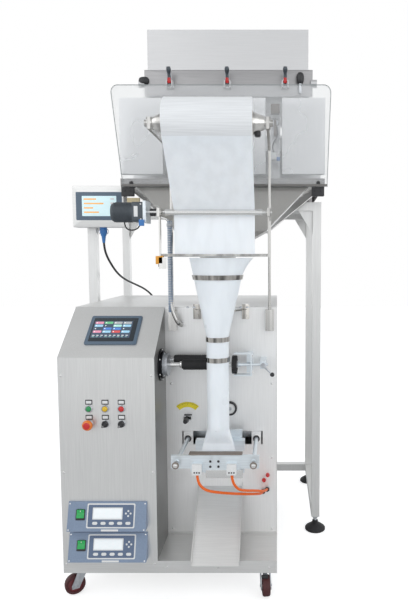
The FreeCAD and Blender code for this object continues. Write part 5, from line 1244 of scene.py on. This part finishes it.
def weigher_panel():
    """A folded case with a bezel and a display of plain bars, all rounded plates."""
    surfaces = Surfaces()
    left, right, front = -712, -475, 430
    surfaces.plate(0, (left, front, 1491), (right, front + 62, 1680), "Y", 4, 1.5)
    surfaces.plate(1, (left + 16, front - 0.2, 1523), (right - 8, front + 2, 1652), "Y", 5, 0.2)
    surfaces.plate(2, (left + 44, front - 0.5, 1542), (right - 34, front + 1, 1634), "Y", 2, 0.2)
    for row in range(4):
        z = 1556 + row * 20
        surfaces.plate(3, (left + 52, front - 0.7, z),
                       (left + 52 + (70, 44, 92, 58)[row], front, z + 7), "Y", 2, 0.1)
        surfaces.plate(4, (right - 62, front - 0.7, z), (right - 44, front, z + 9), "Y", 2, 0.1)
    surfaces.plate(0, (-668, 492, 1531), (-628, 515, 1571), "Y", 2, 1)
    surfaces.make("weigher_panel_case", "root", "slate_plastic",
                  [steel(), slate_plastic(), lit("panel_ground", (0.62, 0.80, 0.84), 0.35),
                   lit("panel_bar", (0.85, 0.45, 0.16), 0.35), white_plastic()],
                  ["weigher_panel"])


def panel_connector():
    """A round plug turned about its axis, with a knurl of fine rods and two bent clips."""
    surfaces = Surfaces()
    plug = [(0, 1491), (17, 1491), (17, 1487), (15.6, 1486), (15.6, 1462), (14.4, 1461),
            (13, 1456), (10, 1450), (8, 1434), (6.4, 1420), (0, 1420)]
    surfaces.turn(0, plug, at(*PANEL_PLUG, 0), "Z", 40)
    left, front = PANEL_PLUG
    for index in range(20):
        swing = index * math.pi / 10
        x, y = left + 15.8 * math.cos(swing), front + 15.8 * math.sin(swing)
        surfaces.add(sweep([at(x, y, 1464), at(x, y, 1484)], 0.9 * MM, 6), 0)
    for side in (-1, 1):
        clip = [at(left + out * side, front, z) for out, z in ((17, 1484), (24, 1474), (18, 1460))]
        surfaces.add(sweep(bend(clip, 8), 1.6 * MM, 8), 1)
    surfaces.make("panel_connector", "root", "controller_blue",
                  [FINISHES["blue_plug_finish"], polished()])


# ---- finishes that are used once ------------------------------------------------------------


def finishes():
    """Every finish is made once, from noise on object coordinates."""
    film = bpy.context.scene.packer.film_colour
    finish("film_roll_finish", (0.84, 0.86, 0.88), 0, 0.34, 260.0, (0.03, 1, 1), 0.05, 0.1)
    finish("core_finish", (0.42, 0.30, 0.19), 0, 0.75, 160.0, shade=0.12, relief=0.2)
    # painted light: the film glows a little in its own colour, which brightens the web beyond what
    # the lamps give it
    material = finish("film_painted_glow_finish", film, 0, 0.32, 26.0, (1, 1, 0.25), 0.04, 0.35, 0.002,
                      coat=0.25)
    fill_shader(material, {"Alpha": 0.94, "Subsurface Weight": 0.1, "Emission Color": (*film, 1),
                           "Emission Strength": 0.13})
    finish("tube_finish", (0.72, 0.75, 0.78), 0.75, 0.2, 300.0, (1, 1, 0.02), 0.04, 0.1)
    finish("conduit_finish", (0.20, 0.27, 0.38), 0, 0.5, 200.0, shade=0.1, relief=0.1)
    finish("sensor_finish", (0.80, 0.36, 0.04), 0, 0.4, 200.0, shade=0.06)
    finish("motor_finish", (0.085, 0.10, 0.115), 0.3, 0.42, 320.0, shade=0.14, relief=0.15)
    finish("blue_plug_finish", (0.05, 0.20, 0.52), 0, 0.35, 260.0, shade=0.08)
    finish("jaw_bar_finish", (0.27, 0.23, 0.20), 0.5, 0.5, 300.0, (0.05, 1, 1), 0.15, 0.2)
    finish("controller_dark_finish", (0.12, 0.17, 0.27), 0, 0.42, 320.0, shade=0.06)
    finish("scale_finish", (0.96, 0.80, 0.03), 0, 0.4, 200.0, shade=0.05)
    finish("tray_finish", (0.30, 0.29, 0.29), 0.7, 0.42, 380.0, (0.02, 1, 1), 0.08, 0.12)
    finish("drive_finish", (0.13, 0.10, 0.08), 0.2, 0.5, 120.0, shade=0.2, relief=0.15)
    finish("bracket_finish", (0.50, 0.43, 0.28), 0.4, 0.45, 180.0, shade=0.1)
    finish("orange_finish", (0.92, 0.15, 0.012), 0, 0.5, 700.0, shade=0.16, relief=0.5,
           relief_depth=0.0008)
    brushed("wall_finish", (0.93, 0.93, 0.925), "Z", 0.42, 0.6, 0.03)
    brushed("panel_finish", (0.84, 0.84, 0.85), "X", 0.45, 0.6, 0.02)
    brushed("hopper_finish", (0.66, 0.66, 0.665), "X", 0.45, 0.7, 0.02)
    brushed("funnel_finish", (0.50, 0.49, 0.47), "Z", 0.34, 0.85, 0.05)
    # painted reflection: a shade of 0.3 on a drawn-out grain gives the polished rods streaks of
    # light and dark
    finish("rod_painted_reflection_finish", (0.62, 0.61, 0.59), 1.0, 0.2, 30.0, (1, 1, 0.03), 0.3, 0.04)
    # painted reflection: a shade of 0.75 on a grain drawn out upright gives the hoops bands of
    # light and dark
    finish("hoop_painted_reflection_finish", (0.50, 0.48, 0.45), 1.0, 0.14, 34.0, (1, 1, 0.02), 0.75, 0.05)
    # painted shade: where the console faces +X its colour is multiplied by 0.33, for the shade on
    # its side sheet
    darkened(upright_steel(), "console_painted_shade_finish", (0.33, 0.33, 0.33), facing_right, 0.5, 0.9)
    darkened(zinc(), "flange_finish", (0.05, 0.05, 0.055), off_the_pull_shaft, FLANGE_STEP,
             FLANGE_STEP + PAINT_EDGE)
    finish("side_sheet_finish", (0.16, 0.155, 0.15), 0.7, 0.34, 380.0, (1, 1, 0.02), 0.12, 0.12)
    finish("band_finish", (0.40, 0.395, 0.40), 0.6, 0.42, 380.0, (0.02, 1, 1), 0.05, 0.1)
    finish("edge_finish", (0.30, 0.33, 0.33), 0, 0.3, 200.0, shade=0.1)
    glass = finish("acrylic_finish", (0.92, 0.94, 0.95), 0, 0.05, 4.0, shade=0.01, relief=0.0,
                   smudge=0.01)
    fill_shader(glass, {"Transmission Weight": 0.55, "Alpha": 0.42, "IOR": 1.12})


def darkened(material, name, share, measure, start, end):
    """A copy of a finish, its colour multiplied by a share where a measure of the surface, made by
    a function in the copy's node tree, grows from the start past the end. It gives the console's
    side sheet its painted shade, and the pull flange's rim its black paint."""
    material = material.copy()
    material.name = name
    tree = material.node_tree
    paint = tree.nodes["Principled BSDF"].inputs["Base Color"].links[0].from_socket
    factor = between(tree, measure(tree), 0.0, 1.0, start, end)
    darker = node(tree, "Mix", {"Factor": factor, "A": paint, "B": (*share, 1)},
                  data_type="RGBA", blend_type="MULTIPLY")
    fill_shader(material, {"Base Color": darker.outputs["Result"]})
    FINISHES[name] = material


def facing_right(tree):
    """How far a surface faces +X. It masks the painted shade on the console's side sheet, whose
    colour is made darker than that of the sheets that face the front."""
    normal = node(tree, "NewGeometry", {}).outputs["Normal"]
    return node(tree, "SeparateXYZ", {"Vector": normal}).outputs["X"]


def off_the_pull_shaft(tree):
    """The distance, in metres, from the pull roller's shaft, which runs along X."""
    place = node(tree, "TexCoord", {}).outputs["Object"]
    offset = node(tree, "VectorMath", {0: place, 1: PULL_AXIS}, operation="SUBTRACT")
    across = node(tree, "VectorMath", {0: offset.outputs["Vector"], 1: (0, 1, 1)},
                  operation="MULTIPLY")
    reach = node(tree, "VectorMath", {0: across.outputs["Vector"]}, operation="LENGTH")
    return reach.outputs["Value"]


# ---- cords ----------------------------------------------------------------------------------

CABLE_ROUTES = {
    "heater_cable_left": [
        (-66, -136, 551.5), (-65, -137, 527), (-55, -136, 501), (-31, -129.5, 479),
        (12, -113, 465), (66, -80, 446), (116, -34, 424), (150, 30, 396), (168, 96, 368),
        (172, 154.3, 352)],
    "heater_cable_right": [
        (63, -136, 551.5), (64, -136, 527), (73, -132, 501), (90, -117, 477), (116, -80, 458),
        (142, -34, 438), (167, 26, 410), (184, 94, 380), (190, 154.3, 362)],
    "panel_cable": [
        (-581, 461, 1425.6), (-580, 463, 1392), (-573, 482, 1352), (-566, 530, 1312),
        (-568, 610, 1278), (-574, 710, 1252), (-580, 820, 1231), (-582, 930, 1212),
        (-572, 1022, 1192), (-545, 1082, 1168), (-508, 1100, 1132), (-478, 1080, 1090),
        (-458, 1028, 1046), (-446, 966, 1004), (-440, 912, 974), (-437, 867.6, 962)]}


def cables():
    """Circles carried along the heater cables' and the panel cable's paths."""
    heater_cable("heater_cable_left", CABLE_ROUTES["heater_cable_left"], ["heater_cables"])
    heater_cable("heater_cable_right", CABLE_ROUTES["heater_cable_right"], ["heater_cables"])
    path = smooth_path(CABLE_ROUTES["panel_cable"], 16)
    surfaces = Surfaces()
    surfaces.add(sweep(path, 5 * MM, 18), 0)
    piece = surfaces.make("panel_cable_skin", "root", "black_rubber", [black_rubber()],
                          ["panel_cable"], 60)


# ---- stage ----------------------------------------------------------------------------------


CAMERA_PLACE, CAMERA_DIP = (0.352, -2.534, 1.353), 4.51
CAMERA_LENS, CAMERA_SHIFT = 32.64, -0.12166667


def camera():
    """Stands in front of the machine at chest height and looks slightly down."""
    data = bpy.data.cameras.new("view")
    data.lens = CAMERA_LENS
    data.sensor_width = 36
    data.shift_x = CAMERA_SHIFT
    data.clip_end = 60
    view = bpy.data.objects.new("view", data)
    bpy.context.scene.collection.objects.link(view)
    view.location = CAMERA_PLACE
    view.rotation_euler = (math.radians(90 - CAMERA_DIP), 0, 0)
    bpy.context.scene.camera = view


def lamp(name, place, target, size, power):
    """A soft rectangular lamp, aimed at a point."""
    data = bpy.data.lights.new(name, "AREA")
    data.shape = "RECTANGLE"
    data.size, data.size_y = size
    data.energy = power
    light = bpy.data.objects.new(name, data)
    bpy.context.scene.collection.objects.link(light)
    light.location = place
    aim = Vector(target) - Vector(place)
    light.rotation_euler = aim.to_track_quat("-Z", "Y").to_euler()


# How bright the room is, from straight down (0) over the horizon (0.5) to straight up (1).
ROOM_LEVELS = ((0.25, 0.60), (0.33, 0.95), (0.42, 1.32), (0.56, 1.28), (0.70, 0.80),
               (1.00, 0.50))


def studio():
    """A white room: soft lamps, a pale floor, and a background that is white to the eye."""
    scene = bpy.context.scene
    scene.view_settings.view_transform = "Standard"
    world = bpy.data.worlds.new("studio")
    scene.world = world
    world.use_nodes = True
    tree = world.node_tree
    tree.nodes.clear()
    direction = node(tree, "TexCoord", {}).outputs["Generated"]
    height = node(tree, "SeparateXYZ", {"Vector": direction}).outputs["Z"]
    level = between(tree, height, 0.0, 1.0, -1.0, 1.0, "LINEAR")
    ramp = node(tree, "ValToRGB", {"Fac": level})
    steps = ramp.color_ramp.elements
    steps.remove(steps[1])
    steps[0].position = 0.0
    steps[0].color = (0.25, 0.26, 0.27, 1)
    for place, level in ROOM_LEVELS:
        steps.new(place).color = (level * 0.97, level * 0.985, level, 1)
    rays = node(tree, "LightPath", {}).outputs
    seen = node(tree, "Math", {0: rays["Is Camera Ray"], 1: rays["Is Transmission Ray"]},
                operation="MAXIMUM")
    soft = node(tree, "Background", {"Color": ramp.outputs["Color"], "Strength": 1.0})
    white = node(tree, "Background", {"Color": (1, 1, 1, 1)})
    blend = node(tree, "MixShader", {"Fac": seen.outputs["Value"], 1: soft.outputs["Background"],
                                     2: white.outputs["Background"]})
    node(tree, "OutputWorld", {"Surface": blend.outputs["Shader"]})
    lamp("key", (-2.6, -2.8, 4.0), (0, -0.2, 1.1), (3.0, 3.0), 30)
    lamp("fill", (2.8, -2.8, 2.6), (0.1, 0, 1.1), (2.4, 2.8), 16)
    mesh = bpy.data.meshes.new("floor")
    reach = 12
    corners = [(-reach, -reach, 0), (reach, -reach, 0), (reach, reach, 0), (-reach, reach, 0)]
    mesh.from_pydata(corners, [], [(0, 1, 2, 3)])
    floor = bpy.data.objects.new("floor", mesh)
    scene.collection.objects.link(floor)
    material = finish("floor_finish", (0.70, 0.705, 0.71), 0, 0.7, 3.0, shade=0.01, relief=0.0)
    tree = material.node_tree
    seen = node(tree, "LightPath", {}).outputs["Is Camera Ray"]
    fill_shader(material, {"Emission Color": (1, 1, 1, 1),
                           "Emission Strength": between(tree, seen, 0.0, 0.66, 0, 1)})
    mesh.materials.append(material)


# ---- add-on ---------------------------------------------------------------------------------


class PACKER_OT_finishes(bpy.types.Operator):
    """Make the finishes"""
    bl_idname = "packer.finishes"
    bl_label = "Finishes"

    def execute(self, context):
        finishes()
        return {"FINISHED"}


class PACKER_OT_cables(bpy.types.Operator):
    """Set the camera and lay the cables"""
    bl_idname = "packer.cables"
    bl_label = "Camera and cables"

    def execute(self, context):
        camera()
        cables()
        return {"FINISHED"}


class PACKER_OT_cabinet(bpy.types.Operator):
    """Dress the cabinet, its bay and its casters"""
    bl_idname = "packer.cabinet"
    bl_label = "Cabinet and casters"

    def execute(self, context):
        cabinet()
        angle_scale()
        bay_fittings()
        casters()
        jaw_supply()
        return {"FINISHED"}


class PACKER_OT_console(bpy.types.Operator):
    """Build the touch screen, buttons and controllers"""
    bl_idname = "packer.console"
    bl_label = "Console"

    def execute(self, context):
        touch_screen()
        push_buttons()
        emergency_stop()
        selectors()
        controllers()
        return {"FINISHED"}


class PACKER_OT_film(bpy.types.Operator):
    """Build the film, its roll, rack and motor, and the forming tube"""
    bl_idname = "packer.film"
    bl_label = "Film path"

    def execute(self, context):
        film_sleeve(film_strip()).make("film_skin", "root", "film", [FINISHES["film_painted_glow_finish"]],
                                       ["film_web"])
        film_roll()
        film_rack()
        feed_motor()
        forming_set()
        return {"FINISHED"}


class PACKER_OT_pull(bpy.types.Operator):
    """Build the pull unit and dress the jaws"""
    bl_idname = "packer.pull"
    bl_label = "Pull unit and jaws"

    def execute(self, context):
        for build in (pull_roller, pinch_roller, press_wheel, pull_fixings, clamp_lever, jaws):
            build()
        return {"FINISHED"}


class PACKER_OT_weigher(bpy.types.Operator):
    """Build the stand's feet, the weigher's fittings, its guard and its panel"""
    bl_idname = "packer.weigher"
    bl_label = "Stand and weigher"

    def execute(self, context):
        stand()
        for build in (weigher, bucket_drives, clamps, funnel_trim, hopper_trim, guard,
                      weigher_panel, panel_connector):
            build()
        return {"FINISHED"}


class PACKER_OT_stage(bpy.types.Operator):
    """Light the machine on a pale floor"""
    bl_idname = "packer.stage"
    bl_label = "Stage"

    def execute(self, context):
        studio()
        return {"FINISHED"}


class PACKER_PT_panel(bpy.types.Panel):
    """The machine's settings, and a button for each group of pieces"""
    bl_label = "Packing machine"
    bl_idname = "PACKER_PT_panel"
    bl_space_type = "VIEW_3D"
    bl_region_type = "UI"
    bl_category = "Packing machine"

    def draw(self, context):
        for name in MachineSettings.__annotations__:
            self.layout.prop(context.scene.packer, name)
        for operator in OPERATORS:
            self.layout.operator(operator.bl_idname)


OPERATORS = (PACKER_OT_finishes, PACKER_OT_cables, PACKER_OT_cabinet, PACKER_OT_console,
             PACKER_OT_film, PACKER_OT_pull, PACKER_OT_weigher, PACKER_OT_stage)
CLASSES = (MachineSettings, *OPERATORS, PACKER_PT_panel)


def register():
    for kind in CLASSES:
        bpy.utils.register_class(kind)
    bpy.types.Scene.packer = PointerProperty(type=MachineSettings)


def unregister():
    del bpy.types.Scene.packer
    for kind in reversed(CLASSES):
        bpy.utils.unregister_class(kind)


def main():
    register()
    for operator in OPERATORS:
        group, name = operator.bl_idname.split(".")
        getattr(getattr(bpy.ops, group), name)()


if __name__ == "__main__":
    main()
